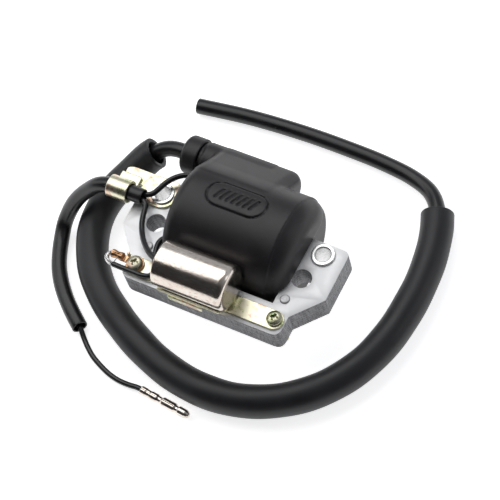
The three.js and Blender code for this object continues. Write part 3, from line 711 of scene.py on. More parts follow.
CONDENSER_WIRE_ROUTE = [
    (-50, -5.6, 34.4), (-43.2, -5.6, 34.4), (-41.1, -6.5, 34.3), (-40.1, -8.8, 34.1),
    (-39.3, -11.9, 34.1), (-37.9, -15.4, 34.5), (-35.7, -19.1, 35.1), (-32.9, -22.6, 36.1),
    (-29.3, -26, 37.7), (-24.9, -29.1, 39.6), (-20.4, -30.8, 40.8),
]
GROUND_WIRE_ROUTE = [
    (-25.5, -16.3, 31), (-27.1, -16.9, 31.1), (-28, -18.9, 31.5), (-27.8, -21.8, 32),
    (-26.6, -25.6, 32.3), (-24.8, -29.2, 32.6), (-23.1, -32.2, 32.7), (-23.6, -35.2, 32.8),
    (-26.6, -36.4, 32.8), (-31.5, -36.5, 32.8), (-36.5, -36.5, 32.8), (-41, -36.4, 32.8),
]
GROUND_STRAND_ROUTE = [
    (-41.3, -36.4, 32.8), (-43, -36.1, 32.7), (-44.6, -35.1, 32.5), (-45.4, -33.6, 32.3),
    (-45.1, -32.2, 32.1), (-44.1, -31.6, 32.1), (-42.5, -31.6, 32.1), (-40.4, -31.6, 32.1),
]
lead_line = smooth_route(LEAD_ROUTE)
lead_sleeve_line = smooth_route(LEAD_SLEEVE_ROUTE)
wire_sleeve_line = smooth_route(WIRE_SLEEVE_ROUTE)
primary_line = smooth_route(PRIMARY_ROUTE, 1.0)
print("lead:", round(length_of(lead_line)), "mm, primary lead:", round(length_of(primary_line)), "mm")


# %% [markdown]
# A lead is a bent piece: the outline of a straight hose, with its axis on the route. The sleeve has a real
# bore and wall, because its open ends show them. Soft sleeving is never quite true, so its radius wanders
# by a tenth of a millimetre.


# %% Hoses and wires
def hose(name, node, line, radius, slot, bore=0.0, sides=40, lip=0.3, wander=0.0, step=1.5, finish=None):
    points, faces = spin(hose_outline(length_of(line), radius, bore, lip, step, wander), sides)
    return add_piece(name, bend(points, line), faces, slot, [node], finish=finish)


LEAD_RADIUS = 3.5
LEAD_SLEEVE_RADIUS, LEAD_SLEEVE_BORE = 7.25, 5.25
WIRE_RADIUS = 1.2
WIRE_SLEEVE_RADIUS, WIRE_SLEEVE_BORE = 3.5, 2.8
GROUND_WIRE_RADIUS, STRAND_RADIUS = 1.15, 0.95

lead = hose("lead_insulation", "ht_lead", lead_line, LEAD_RADIUS, "lead_black", sides=48)
lead_sleeve = hose(
    "lead_sleeving", "ht_sleeve", lead_sleeve_line, LEAD_SLEEVE_RADIUS, "sleeve_black", LEAD_SLEEVE_BORE, 64,
    wander=0.1)
primary = hose(
    "primary_insulation", "primary_wire", primary_line, WIRE_RADIUS, "lead_black", sides=24, lip=0.15, step=1,
    finish=THIN_WIRE)
wire_sleeve = hose(
    "wire_sleeving", "wire_sleeve", wire_sleeve_line, WIRE_SLEEVE_RADIUS, "sleeve_black", WIRE_SLEEVE_BORE,
    40, 0.2, 0.05, finish=VINYL)
hose(
    "condenser_insulation", "condenser_wire", smooth_route(CONDENSER_WIRE_ROUTE, 0.8), WIRE_RADIUS,
    "lead_black", sides=24, lip=0.15, step=0.8, finish=THIN_WIRE)
hose(
    "ground_insulation", "ground_wire", smooth_route(GROUND_WIRE_ROUTE, 0.8), GROUND_WIRE_RADIUS,
    "lead_black", sides=24, lip=0.15, step=0.8, finish=THIN_WIRE)
print("wire sleeve:", round(length_of(wire_sleeve_line)), "mm")

# %% [markdown]
# The bare end of the ground wire is seven tinned strands laid round each other. Each strand is a thin wire
# on a route that winds round the middle line, so the twist is real and catches the light.


# %% Bare strands
def twisted_strands(name, node, line, radius, slot, finish, strands=7, pitch=9.0):
    """Strands round a middle line: one down the middle and the rest wound round it."""
    strand = radius / 3
    length = length_of(line)
    stations = np.linspace(0, length, int(length / 0.5) + 2)
    points, faces = [], []
    for number in range(strands):
        turn = 2 * np.pi * (stations / pitch + number / (strands - 1))
        away = 0 if number == strands - 1 else 2 * strand
        middle = np.stack([stations, away * np.cos(turn), away * np.sin(turn)], 1)
        tube, quads = spin(hose_outline(length_of(middle), strand, lip=0.05, step=0.5), 8)
        placed = bend(bend(tube, middle), line)
        faces += [[index + len(points) * len(placed) for index in face] for face in quads]
        points.append(placed)
    return add_piece(name, np.vstack(points), faces, slot, [node], finish=finish)


strand_line = smooth_route(GROUND_STRAND_ROUTE, 0.4)
twisted_strands("ground_strands", "ground_strand", strand_line, STRAND_RADIUS, "copper", TINNED)
print("bare end:", round(length_of(strand_line), 1), "mm")

# %% [markdown]
# ## The iron core
#
# The core is a stack of stamped sheets, half a millimetre thick. Each sheet is really there: a curve
# outline with its holes, filled, given its thickness and a tiny rounded edge, and copied up the stack. The
# fine grooves on the sides are then true gaps between the sheets.


# %% Stamped sheets
def stamped(outlines, thickness, edge):
    """Points and faces of one sheet, from an outline and its holes, with rounded edges."""
    curve = bpy.data.curves.new("stamping", "CURVE")
    curve.dimensions = "2D"
    curve.fill_mode = "BOTH"
    for outline in outlines:
        spline = curve.splines.new("POLY")
        spline.points.add(len(outline) - 1)
        for point, (x, y) in zip(spline.points, outline):
            point.co = (x, y, 0, 1)
        spline.use_cyclic_u = True
    curve.extrude = thickness / 2 - edge
    curve.bevel_depth = edge
    curve.bevel_resolution = 1
    curve.offset = -edge
    holder = bpy.data.objects.new("stamping", curve)
    mesh = bpy.data.meshes.new_from_object(holder)
    shell = bmesh.new()
    shell.from_mesh(mesh)
    bmesh.ops.remove_doubles(shell, verts=shell.verts, dist=1e-4)
    points = np.array([v.co for v in shell.verts])
    faces = [[v.index for v in f.verts] for f in shell.faces]
    shell.free()
    bpy.data.objects.remove(holder)
    bpy.data.curves.remove(curve)
    bpy.data.meshes.remove(mesh)
    return points, faces


def ring_of(x, y, radius, sides=48):
    angles = np.arange(sides) * 2 * np.pi / sides
    return [(x + radius * math.cos(a), y + radius * math.sin(a)) for a in angles]


def stack(name, node, outlines, sheet=0.5, edge=0.07):
    """Sheets piled up through the height of a node, each a few hundredths out of line."""
    low, high = span(node)
    count = round((high[2] - low[2]) / sheet)
    points, faces = stamped(outlines, (high[2] - low[2]) / count, edge)
    draw = np.random.default_rng(7)
    pile, sides = [], []
    for number in range(count):
        slip = draw.uniform(-0.03, 0.03, 2)
        middle = low[2] + (number + 0.5) * (high[2] - low[2]) / count
        sides += [[index + number * len(points) for index in face] for face in faces]
        pile.append(points + (*slip, middle))
    return add_piece(name, np.vstack(pile), sides, "sheet_steel", [node], sharp=30)


# %% The yoke and the leg
core_low, core_high = span("core_yoke")
CORE_TOP, CORE_BOTTOM = core_high[2], core_low[2]
FRONT_HALF_LENGTH = 37.3
STEP_Y, CHAMFER_BACK_Y = -28.9, -16.4
WINDOW_HALF_LENGTH, WINDOW_FRONT_Y = 28.4, -25.6
CORNER_RADIUS, EAR_RADIUS = 4, 3.2
LIGHTENING_HOLE = (34.5, -11.1, 4.25)
left_bush_low, left_bush_high = span("bush_left")
bush_x, bush_y = abs(left_bush_low[0] + left_bush_high[0]) / 2, (left_bush_low[1] + left_bush_high[1]) / 2
BUSH_BORE, BUSH_OUTER = 3.2, 4.1
half = [
    (FRONT_HALF_LENGTH, core_low[1], CORNER_RADIUS),
    (FRONT_HALF_LENGTH, STEP_Y),
    (core_high[0], CHAMFER_BACK_Y),
    (core_high[0], core_high[1], EAR_RADIUS),
    (WINDOW_HALF_LENGTH, core_high[1]),
    (WINDOW_HALF_LENGTH, WINDOW_FRONT_Y),
]
mirrored = [(-corner[0], *corner[1:]) for corner in half[::-1]]
screw_low, screw_high = span("screw_right")
screw_x, screw_y = (screw_low[0] + screw_high[0]) / 2, (screw_low[1] + screw_high[1]) / 2
rivet_low, rivet_high = span("rivet_right")
rivet_x, rivet_y = (rivet_low[0] + rivet_high[0]) / 2, (rivet_low[1] + rivet_high[1]) / 2
SCREW_HOLE = 2.15
holes = [
    ring_of(side * x, y, radius)
    for side in (-1, 1)
    for x, y, radius in (
        LIGHTENING_HOLE, (bush_x, bush_y, BUSH_OUTER + 0.1), (rivet_x, rivet_y, 1.6), (screw_x, screw_y, 2.1))
]
stack("yoke_sheets", "core_yoke", [eased(half + mirrored, 0.15, 5), *holes])
leg_low, leg_high = span("core_leg")
leg_corners = [leg_low[:2], (leg_high[0], leg_low[1]), leg_high[:2], (leg_low[0], leg_high[1])]
stack("leg_sheets", "core_leg", [eased(leg_corners, 0.3)])
print("holes in the yoke:", len(holes))

# %% [markdown]
# ## Bushes and rivets
#
# The mounting bushes are steel eyelets: a tube whose ends are rolled outwards over the core. The roll is a
# round bead, and the bore opens into it with a soft radius. The rivets have low headed-over ends.


# %% Eyelets
def eyelet(name, node, flange_top):
    low, high = span(node)
    x, y = (low[0] + high[0]) / 2, (low[1] + high[1]) / 2
    flange = (high[0] - low[0]) / 2
    bore, outer = BUSH_BORE, BUSH_OUTER
    outline = eased([
        (low[2], bore, 0.5), (low[2], flange, 0.45), (CORE_BOTTOM, flange, 0.3), (CORE_BOTTOM, outer, 0.15),
        (flange_top, outer, 0.15), (flange_top, flange, 0.3), (high[2], flange, 0.45),
        (high[2], bore + 0.25, 0.35), (high[2] - 0.7, bore, 0.5),
    ], steps=6)
    return add_piece(name, *turned_z(outline, x, y, 80), "bright_steel", [node])


def rivet(name, node):
    low, high = span(node)
    x, y = (low[0] + high[0]) / 2, (low[1] + high[1]) / 2
    head = (high[0] - low[0]) / 2
    shank = 1.5
    outline = eased([
        (low[2], 0), (low[2], head * 0.7, 0.6), (CORE_BOTTOM, head, 0.15), (CORE_BOTTOM, shank, 0.1),
        (CORE_TOP, shank, 0.1), (CORE_TOP, head, 0.15), (high[2] - 0.15, head * 0.78, 0.3),
        (high[2], head * 0.45, 0.2), (high[2] - 0.22, head * 0.3, 0.15), (high[2] - 0.25, 0),
    ], closed=False)
    return add_piece(name, *turned_z(outline, x, y, 48), "sheet_steel", [node])


FLANGE_THICKNESS = 0.9
for side in ("left", "right"):
    eyelet_top = span(f"bush_{side}")[1][2]
    eyelet(f"eyelet_{side}", f"bush_{side}", eyelet_top - FLANGE_THICKNESS)
rivet("rivet_head_left", "rivet_left")
rivet("rivet_head_right", "rivet_right")

# %% [markdown]
# ## The winding case
#
# The case is one black moulding: a barrel for the windings, and behind it a web that carries the
# high-tension tower. It is grown, so the web melts into the barrel with a mould radius. The barrel's right
# end is well rounded, its left end stands open for the potting resin, a flat land runs along its underside,
# and a panel on its top is engraved with a plain row of leaning bars.

# %% Distances of the case
case_low, case_high = span("coil_case")
cap_low, cap_high = span("ht_cap")
AXIS_Z = (CORE_TOP + CORE_BOTTOM) / 2
CASE_RADIUS = 25
CASE_LEFT, CASE_RIGHT = -26.5, case_high[0]
LEFT_ROUND, RIGHT_ROUND = 5, 10
CASE_WALL, CAVITY_RIGHT = 3, 25.5
TOWER_Y, TOWER_RADIUS, TOWER_LEFT = (cap_low[1] + cap_high[1]) / 2, 8, -31.2
WEB_RIGHT, WEB_ROUND, WEB_START_Y = 12.2, 5, 12.5
SHOULDER_X = 24.2
NIPPLE_LEFT, NIPPLE_RADIUS = case_low[0], 5.6
TOWER_BORE, TOWER_BORE_END = 3.8, 4
SLOT_HALF_Y, SLOT_HALF_Z = leg_high[1] + 0.3, (CORE_TOP - CORE_BOTTOM) / 2 + 0.3
PANEL_LENGTH, PANEL_WIDTH, PANEL_DEPTH, PANEL_Y = 27, 12, 0.6, 4
LINE_HALF_WIDTH = 0.3
BAR_LEAN, BAR_PITCH, BAR_HALF_WIDTH, BAR_HALF_LENGTH = 0.45, 2.7, 0.5, 2.7
BARS_HALF_SPAN = 3.4 * BAR_PITCH


def barrel_distance(p):
    """The barrel: a rod with a small radius at its left end and a large one at its right."""
    across = np.hypot(p[..., 1], p[..., 2] - AXIS_Z)
    middle, half_length = (CASE_LEFT + CASE_RIGHT) / 2, (CASE_RIGHT - CASE_LEFT) / 2
    radius = np.where(p[..., 0] < middle, LEFT_ROUND, RIGHT_ROUND)
    u = np.abs(p[..., 0] - middle) - half_length + radius
    v = across - CASE_RADIUS + radius
    return np.hypot(np.maximum(u, 0), np.maximum(v, 0)) + np.minimum(np.maximum(u, v), 0) - radius


def web_distance(p):
    """The web: the outline round the barrel and the tower, joined by flat sides, drawn out along X."""
    y, z = p[..., 1], np.abs(p[..., 2] - AXIS_Z)
    lean = (CASE_RADIUS - TOWER_RADIUS) / TOWER_Y
    rise = math.sqrt(1 - lean * lean)
    along = rise * y - lean * z
    flat = np.where(
        along < 0,
        np.hypot(y, z) - CASE_RADIUS,
        np.where(
            along > rise * TOWER_Y, np.hypot(y - TOWER_Y, z) - TOWER_RADIUS, lean * y + rise * z - CASE_RADIUS),
    )
    return both(raised(flat, p[..., 0], CASE_LEFT, WEB_RIGHT, WEB_ROUND), WEB_START_Y - y, 1.5)


def case_distance(p):
    x, y, z = np.moveaxis(p, -1, 0)
    across = np.hypot(y, z - AXIS_Z)
    shoulder = raised(across - CASE_RADIUS, x, 0, SHOULDER_X, 0.6)
    solid = joined(np.minimum(shoulder, barrel_distance(p)), web_distance(p), 0.8)
    solid = joined(solid, rod_distance(p, 0, (TOWER_Y, AXIS_Z), TOWER_RADIUS, TOWER_LEFT, 0, 0.6), 1)
    tower_axis = (TOWER_Y, AXIS_Z)
    collar = rod_distance(p, 0, tower_axis, TOWER_RADIUS - 0.45, cap_high[0] + 0.2, TOWER_LEFT + 1, 0.3)
    solid = joined(solid, collar, 0.1)
    solid = joined(solid, rod_distance(p, 0, tower_axis, NIPPLE_RADIUS, NIPPLE_LEFT, TOWER_LEFT, 0.3), 0.5)
    solid = cut(solid, z, 0.6)
    cavity = rod_distance(p, 0, (0, AXIS_Z), CASE_RADIUS - CASE_WALL, CASE_LEFT - 9, CAVITY_RIGHT, 1)
    solid = cut(solid, cavity, 0.7)
    slot_low = (CAVITY_RIGHT - 2, -SLOT_HALF_Y, AXIS_Z - SLOT_HALF_Z)
    slot = box_distance(p, slot_low, (40, SLOT_HALF_Y, AXIS_Z + SLOT_HALF_Z))
    solid = cut(solid, slot, 0.4)
    above_ear = CORE_TOP + 0.3
    notch = box_distance(p, (WINDOW_HALF_LENGTH - 0.3, -60, -40), (80, 60, above_ear), 0.3)
    notch_back = box_distance(
        p, (WINDOW_HALF_LENGTH - 1.3, -60, CORE_BOTTOM - 0.3), (80, core_high[1] + 0.3, above_ear), 0.3)
    solid = cut(cut(solid, notch, 0.4), notch_back, 0.4)
    bore = rod_distance(p, 0, (TOWER_Y, AXIS_Z), TOWER_BORE, TOWER_LEFT - 20, TOWER_BORE_END, 0.5)
    solid = cut(solid, bore, 0.4)
    around = slot_distance(x, y - PANEL_Y, (PANEL_LENGTH - PANEL_WIDTH) / 2, PANEL_WIDTH / 2)
    line = raised(np.abs(around) - LINE_HALF_WIDTH, z, AXIS_Z, 80, 0.1)
    leaning = x - BAR_LEAN * (y - PANEL_Y)
    nearest = np.abs((leaning + BAR_PITCH / 2) % BAR_PITCH - BAR_PITCH / 2) - BAR_HALF_WIDTH
    patch = both(np.abs(y - PANEL_Y) - BAR_HALF_LENGTH, np.abs(leaning) - BARS_HALF_SPAN, 0.1)
    bars = both(nearest, patch, 0.3)
    mark = raised(bars, z, AXIS_Z, 80, 0.1)
    engraved = both(np.minimum(line, mark), CASE_RADIUS - PANEL_DEPTH - across, 0.15)
    return cut(solid, engraved, 0.3)


print("distance at the axis:", round(float(case_distance(np.array([0.0, 0.0, AXIS_Z]))), 2), "mm")

# %% Grow the case
case_surface = grow(case_distance, case_low, case_high, 0.55)
add_piece("case_moulding", *case_surface, "case_black", ["coil_case"], sharp=60)

# %% [markdown]
# The open end is closed with poured resin. It climbs a little at the wall and at the leg, as any liquid
# does before it sets, and its face is never quite level.


# %% The poured end
def resin_distance(p):
    low, high = span("end_resin")
    x, y, z = np.moveaxis(p, -1, 0)
    across = np.hypot(y, z - AXIS_Z)
    edge = (high[1] - low[1]) / 2
    climb = 0.7 * np.exp(-(edge - across) / 0.9) + 0.12 * np.sin(y * 0.45 + 1) * np.sin(z * 0.37)
    face = low[0] + 0.75 - climb
    solid = np.maximum(across - edge, np.maximum(face - x, x - high[0]))
    slot_low = (low[0] - 5, -SLOT_HALF_Y, AXIS_Z - SLOT_HALF_Z)
    slot_high = (high[0] + 5, SLOT_HALF_Y, AXIS_Z + SLOT_HALF_Z)
    slot = box_distance(p, slot_low, slot_high)
    return cut(solid, slot, 0.3)


resin_surface = grow(resin_distance, *span("end_resin"), 0.55)
add_piece("poured_end", *resin_surface, "resin_black", ["end_resin"], sharp=60)

# %% [markdown]
# ## The outlet cap
#
# The cap screws on to the tower and squeezes a rubber seal round the lead. It is turned, with a chamfered
# outer edge, a hollow inside for the seal and the washer, and a mouth for the lead. It rides on its own
# body, because it turns and travels when it is unscrewed.

# %% The cap
CAP_LEFT, CAP_RIGHT = cap_low[0], cap_high[0]
CAP_RADIUS = (cap_high[1] - cap_low[1]) / 2
CAP_WALL, CAP_THREAD_RADIUS, CAP_MOUTH = 1.8, 6, 3.8


def cap_distance(p):
    x, y, z = np.moveaxis(p, -1, 0)
    y, z = y - TOWER_Y, z - AXIS_Z
    across = np.hypot(y, z)
    solid = raised(across - CAP_RADIUS, x, CAP_LEFT, CAP_RIGHT, 0.4)
    chamfer = (across - CAP_RADIUS + (CAP_LEFT - x) + 1.3) * math.sqrt(0.5)
    solid = both(solid, chamfer, 0.5)
    hollow = raised(across - CAP_THREAD_RADIUS, x, CAP_LEFT + CAP_WALL, CAP_RIGHT + 9, 0.2)
    mouth = raised(across - CAP_MOUTH, x, CAP_LEFT - 9, CAP_RIGHT + 9, 0.2)
    return cut(cut(solid, hollow, 0.3), mouth, 0.4)


cap_surface = grow(cap_distance, cap_low, cap_high, 0.22)
add_piece("cap_moulding", *cap_surface, "case_black", ["ht_cap"], body="cap", sharp=60)
print("points on the cap:", len(cap_surface[0]))

# %% [markdown]
# ## The condenser
#
# The can is drawn from thin sheet and nickel plated. A drawn can has a generous radius at its closed end
# and a rolled-over lip at its open end, where a rubber disc and the terminal tag sit.

# %% The can, its seal and its tag
can_low, can_high = span("condenser_can")
CAN_RADIUS = (can_high[1] - can_low[1]) / 2
CAN_Y, CAN_Z = (can_low[1] + can_high[1]) / 2, (can_low[2] + can_high[2]) / 2
CAN_LEFT, CAN_RIGHT = can_low[0], can_high[0]
CAN_WALL, CAN_EDGE = 0.5, 3.2
inner = CAN_RADIUS - CAN_WALL
can_outline = eased([
    (CAN_LEFT, inner - 0.9, 0.2), (CAN_LEFT, CAN_RADIUS, 0.7), (CAN_RIGHT, CAN_RADIUS, CAN_EDGE),
    (CAN_RIGHT, CAN_RADIUS - 7), (CAN_RIGHT, 0),
], steps=12, closed=False)
inside_outline = eased([
    (CAN_RIGHT - CAN_WALL, 0), (CAN_RIGHT - CAN_WALL, inner, CAN_EDGE), (CAN_LEFT + CAN_WALL, inner, 0.3),
    (CAN_LEFT + CAN_WALL, inner - 0.9, 0.1),
], steps=8, closed=False)


def spin_shell(outside, inside, sides):
    """A cup: the outside from its rim to the middle, and the inside from the middle back to the rim."""
    rim = len(outside) - 1
    out_points, out_faces = spin([(outside[0][0], 0), *outside], sides)
    in_points, in_faces = spin([*inside, (inside[-1][0], 0)], sides)
    out_faces = [face for face in out_faces if rim * sides not in face]
    last = (len(inside) - 1) * sides
    in_faces = [face for face in in_faces if last + 1 not in face]
    first_in = len(out_points) + last - sides
    faces = out_faces + [[index + len(out_points) for index in face] for face in in_faces]
    faces += [[s, (s + 1) % sides, first_in + (s + 1) % sides, first_in + s] for s in range(sides)]
    return np.vstack([out_points, in_points]), faces


can_points, can_faces = spin_shell(can_outline, inside_outline, 128)
used = sorted({index for face in can_faces for index in face})
renumber = {old: new for new, old in enumerate(used)}
can_points = can_points[used] + (0, CAN_Y, CAN_Z)
can_faces = [[renumber[index] for index in face] for face in can_faces]
add_piece("condenser_shell", can_points, can_faces, "nickel", ["condenser_can"])

seal_low, seal_high = span("condenser_seal")
seal_radius = (seal_high[1] - seal_low[1]) / 2
add_piece("condenser_grommet", *turned_x(eased([
    (seal_low[0] + 0.2, 2.1, 0.2), (seal_low[0], 3.4, 0.4), (seal_low[0] + 0.35, 4.2, 0.4),
    (seal_low[0] + 0.35, seal_radius, 0.3), (seal_high[0], seal_radius, 0.3), (seal_high[0], 2.1, 0.1),
]), CAN_Y, CAN_Z, 64), "rubber", ["condenser_seal"])
tag_low, tag_high = span("condenser_tag")
add_piece("solder_cup", *turned_x(eased([
    (tag_low[0] + 0.3, 0), (tag_low[0], 1.2, 0.4), (tag_low[0] + 0.6, 1.9, 0.5),
    (seal_low[0] - 0.5, 2.6, 0.25), (seal_low[0] - 0.3, 1.7, 0.1), (tag_high[0], 1.7, 0.2), (tag_high[0], 0),
], closed=False), CAN_Y, CAN_Z, 40), "brass", ["condenser_tag"])

# %% [markdown]
# ## Pressed strips
#
# The condenser sits in a saddle pressed up from one strip, which both screws hold. The wire clamp is a
# second strip that loops round the sleeve and lies back on its own plate. Both are grown from thin sheets,
# so every bend and cut edge gets the small radius that a press tool leaves.

# %% The condenser's strip
strip_low, strip_high = span("condenser_bracket")
SHEET = 1.0
STRIP_TOP = CORE_TOP + SHEET
STRIP_FRONT, STRIP_BACK, STRIP_END_X = -36.9, -28.3, 36.9
SADDLE_LEFT, SADDLE_RIGHT = -16.6, 12.4
SADDLE_RADIUS = CAN_RADIUS + 0.3 + SHEET / 2
SADDLE_FROM, SADDLE_TO = math.radians(-156), math.radians(-62)
LUG_LEFT, LUG_RIGHT, LUG_DROP = -13.6, 2.4, 3
FRONT_FACE = core_low[1] - 0.4
EAR_X, EAR_HEIGHT = strip_low[0], 2


def arc_distance(u, v, radius, start, end):
    """The distance from an arc about the origin, between two angles."""
    angle = np.arctan2(v, u)
    middle, half_turn = (start + end) / 2, (end - start) / 2
    away = np.abs((angle - middle + np.pi) % (2 * np.pi) - np.pi)
    ends = [np.hypot(u - radius * math.cos(a), v - radius * math.sin(a)) for a in (start, end)]
    return np.where(away < half_turn, np.abs(np.hypot(u, v) - radius), np.minimum(*ends))


def strip_distance(p):
    x, y, z = np.moveaxis(p, -1, 0)
    middle_y = (STRIP_FRONT + STRIP_BACK) / 2
    half_width = (STRIP_BACK - STRIP_FRONT) / 2
    flat = slot_distance(x, y - middle_y, STRIP_END_X - half_width, half_width)
    solid = raised(flat, z, CORE_TOP, STRIP_TOP, 0.18)
    saddle = arc_distance(y - CAN_Y, z - CAN_Z, SADDLE_RADIUS, SADDLE_FROM, SADDLE_TO) - SHEET / 2
    solid = joined(solid, raised(saddle, x, SADDLE_LEFT, SADDLE_RIGHT, 0.18), 0.5)
    lip = FRONT_FACE - SHEET
    tongue = box_distance(p, (LUG_LEFT, lip, CORE_TOP), (LUG_RIGHT, STRIP_FRONT + 1, STRIP_TOP))
    fold = box_distance(p, (LUG_LEFT, lip, STRIP_TOP - LUG_DROP), (LUG_RIGHT, FRONT_FACE, STRIP_TOP), 0.3)
    solid = joined(solid, joined(tongue, fold, 0.4), 0.4)
    back = STRIP_BACK - 0.4
    ear = box_distance(p, (EAR_X, back - 1.2, CORE_TOP), (EAR_X + SHEET, back, STRIP_TOP + EAR_HEIGHT))
    root = box_distance(p, (EAR_X, back - 1.2, CORE_TOP), (-screw_x, back, STRIP_TOP))
    solid = joined(solid, joined(ear, root, 0.4), 0.3)
    for side in (-1, 1):
        solid = cut(solid, np.hypot(x - side * screw_x, y - screw_y) - SCREW_HOLE, 0.2)
    return solid


strip_surface = grow(strip_distance, strip_low, strip_high, 0.27)
add_piece("condenser_strip", *strip_surface, "zinc_yellow", ["condenser_bracket"], sharp=60)
print("points on the strip:", len(strip_surface[0]))

# %% The wire clamp
clamp_low, clamp_high = span("lead_clamp")
CLAMP_LEFT, CLAMP_RIGHT = clamp_low[0], -49.6
CLAMP_FRONT, CLAMP_BACK, PLATE_RIGHT = -4.7, clamp_high[1], -31.2
LOOP_Y, LOOP_BORE = -4.2, 3.9
LOOP_Z = CORE_TOP + SHEET + LOOP_BORE
TAB_END = 5.2


def clamp_distance(p):
    x, y, z = np.moveaxis(p, -1, 0)
    low_part = both(
        box_distance(p, (CLAMP_LEFT + 0.8, 2.4, CORE_TOP), (PLATE_RIGHT, CLAMP_BACK, STRIP_TOP), 0.2),
        slot_distance(
            x - (CLAMP_LEFT + PLATE_RIGHT) / 2, y - 2.2, (PLATE_RIGHT - CLAMP_LEFT) / 2 - 5, 7.2), 0.3)
    ear_y, ear_half = (CLAMP_FRONT + CLAMP_BACK) / 2, (CLAMP_BACK - CLAMP_FRONT) / 2
    ear_outline = slot_distance(x - (PLATE_RIGHT - 8.6), y - ear_y, 1.6, ear_half)
    ear_part = raised(ear_outline, z, CORE_TOP, STRIP_TOP, 0.2)
    solid = joined(low_part, ear_part, 0.3)
    middle = LOOP_BORE + SHEET / 2
    loop = arc_distance(y - LOOP_Y, z - LOOP_Z, middle, math.radians(-30), math.radians(270)) - SHEET / 2
    stem = box_distance(np.stack([x * 0, y, z], -1), (-1, LOOP_Y, CORE_TOP), (1, 3, STRIP_TOP), 0.1)
    tab_low = STRIP_TOP + 0.3
    tab = box_distance(np.stack([x * 0, y, z], -1), (-1, 0.4, tab_low), (1, TAB_END, tab_low + SHEET), 0.1)
    strip = joined(joined(loop, stem, 0.2), tab, 0.5)
    solid = joined(solid, raised(strip, x, CLAMP_LEFT, CLAMP_RIGHT, 0.18), 0.25)
    return cut(solid, np.hypot(x + bush_x, y - bush_y) - BUSH_OUTER - 0.12, 0.15)


clamp_surface = grow(clamp_distance, clamp_low, clamp_high, 0.25)
add_piece("wire_clamp", *clamp_surface, "zinc_yellow", ["lead_clamp"], sharp=60)

# %% [markdown]
# ## Screws, nuts and terminals
#
# These are the smallest parts, so they are grown on a fine grid: cross recesses with sloping walls, a real
# helical thread on the screws, chamfered nuts, and a crimp that has been squeezed on to the wire.

# %% Screws and nuts
THREAD_PITCH, THREAD_DEPTH = 0.7, 0.22
SCREW_HEAD_HEIGHT = 2.2


def screw_distance(p, x0, y0, seat, top, bottom):
    x, y, z = np.moveaxis(p - (x0, y0, 0), -1, 0)
    across = np.hypot(x, y)
    head_radius = (screw_high[0] - screw_low[0]) / 2
    head = raised(across - head_radius, z, seat, top, 0.35)
    dome_radius = 7.2
    dome = np.sqrt(across ** 2 + (z - top + dome_radius) ** 2) - dome_radius
    head = both(head, dome, 0.4)
    phase = z / THREAD_PITCH - np.arctan2(y, x) / (2 * np.pi)
    groove = THREAD_DEPTH * np.abs(2 * (phase % 1) - 1) * np.clip((seat - 6 - z) / 2, 0, 1)
    shank = raised(across - 2 + groove, z, bottom, seat + 0.5, 0.3)
    solid = joined(head, shank, 0.2)
    narrow = 0.55 - 0.12 * (top - z)
    cross = np.minimum(
        np.maximum(np.abs(x) - narrow, np.abs(y) - 1.75 + 0.5 * (top - z)),
        np.maximum(np.abs(y) - narrow, np.abs(x) - 1.75 + 0.5 * (top - z)),
    )
    recess = np.maximum(joined(cross, across - 0.9, 0.2), top - 1.5 - z)
    return cut(solid, recess, 0.12)


def nut_distance(p, x0, y0, low, high):
    x, y, z = np.moveaxis(p - (x0, y0, 0), -1, 0)
    across = np.hypot(x, y)
    half_flat = 3.5
    turns = [math.radians(30 + 60 * k) for k in range(3)]
    hexagon = np.max([np.abs(x * math.cos(a) + y * math.sin(a)) for a in turns], 0) - half_flat
    solid = raised(hexagon, z, low, high, 0.15)
    for end in (z - high, low - z):
        solid = both(solid, (across - half_flat - 0.25) * 0.5 + end * 0.87, 0.15)
    return cut(solid, across - 2.12, 0.3)


for side, name in ((-1, "left"), (1, "right")):
    low, high = span(f"screw_{name}")
    centre = (low[0] + high[0]) / 2
    seat = high[2] - SCREW_HEAD_HEIGHT
    screw_surface = grow(lambda p: screw_distance(p, centre, screw_y, seat, high[2], low[2]), low, high, 0.16)
    add_piece(
        f"pan_screw_{name}", *screw_surface, "zinc_yellow", [f"screw_{name}"], finish=SCREW_ZINC, sharp=60)
    nut_low, nut_high = span(f"nut_{name}")
    nut_surface = grow(
        lambda p: nut_distance(p, centre, screw_y, nut_low[2], nut_high[2]), nut_low, nut_high, 0.2)
    add_piece(f"hex_nut_{name}", *nut_surface, "zinc_yellow", [f"nut_{name}"], sharp=50)

# %% The ring terminal
ring_low, ring_high = span("ring_terminal")
RING_RADIUS, RING_THICKNESS = 3.9, 0.8
BARREL_LEFT, BARREL_RIGHT = ring_low[0], -38.7
BARREL_Y, BARREL_Z, BARREL_RADIUS = -31.6, 32.1, 1.8


def ring_distance(p):
    x, y, z = np.moveaxis(p, -1, 0)
    top = STRIP_TOP + RING_THICKNESS
    ring = rod_distance(p, 2, (-screw_x, screw_y), RING_RADIUS, STRIP_TOP, top, 0.18)
    tongue = box_distance(
        p, (BARREL_RIGHT - 1.5, BARREL_Y - 1.5, STRIP_TOP), (-screw_x, BARREL_Y + 1.5, top), 0.15)
    solid = joined(ring, tongue, 0.5)
    pinch = 0.3 * np.exp(-((x - (BARREL_LEFT + BARREL_RIGHT) / 2) / 1.1) ** 2)
    round_y, round_z = y - BARREL_Y, z - BARREL_Z
    barrel = raised(np.hypot(round_y, round_z) - BARREL_RADIUS + pinch, x, BARREL_LEFT, BARREL_RIGHT, 0.2)
    barrel = cut(barrel, np.maximum(np.hypot(round_y, round_z) - 1.15 + pinch, x - BARREL_RIGHT + 1), 0.15)
    seam = np.maximum(np.abs(round_y) - 0.1, -round_z)
    barrel = cut(barrel, np.maximum(seam, x - BARREL_RIGHT + 0.6), 0.15)
    solid = joined(solid, barrel, 0.4)
    return cut(solid, np.hypot(x + screw_x, y - screw_y) - SCREW_HOLE, 0.2)


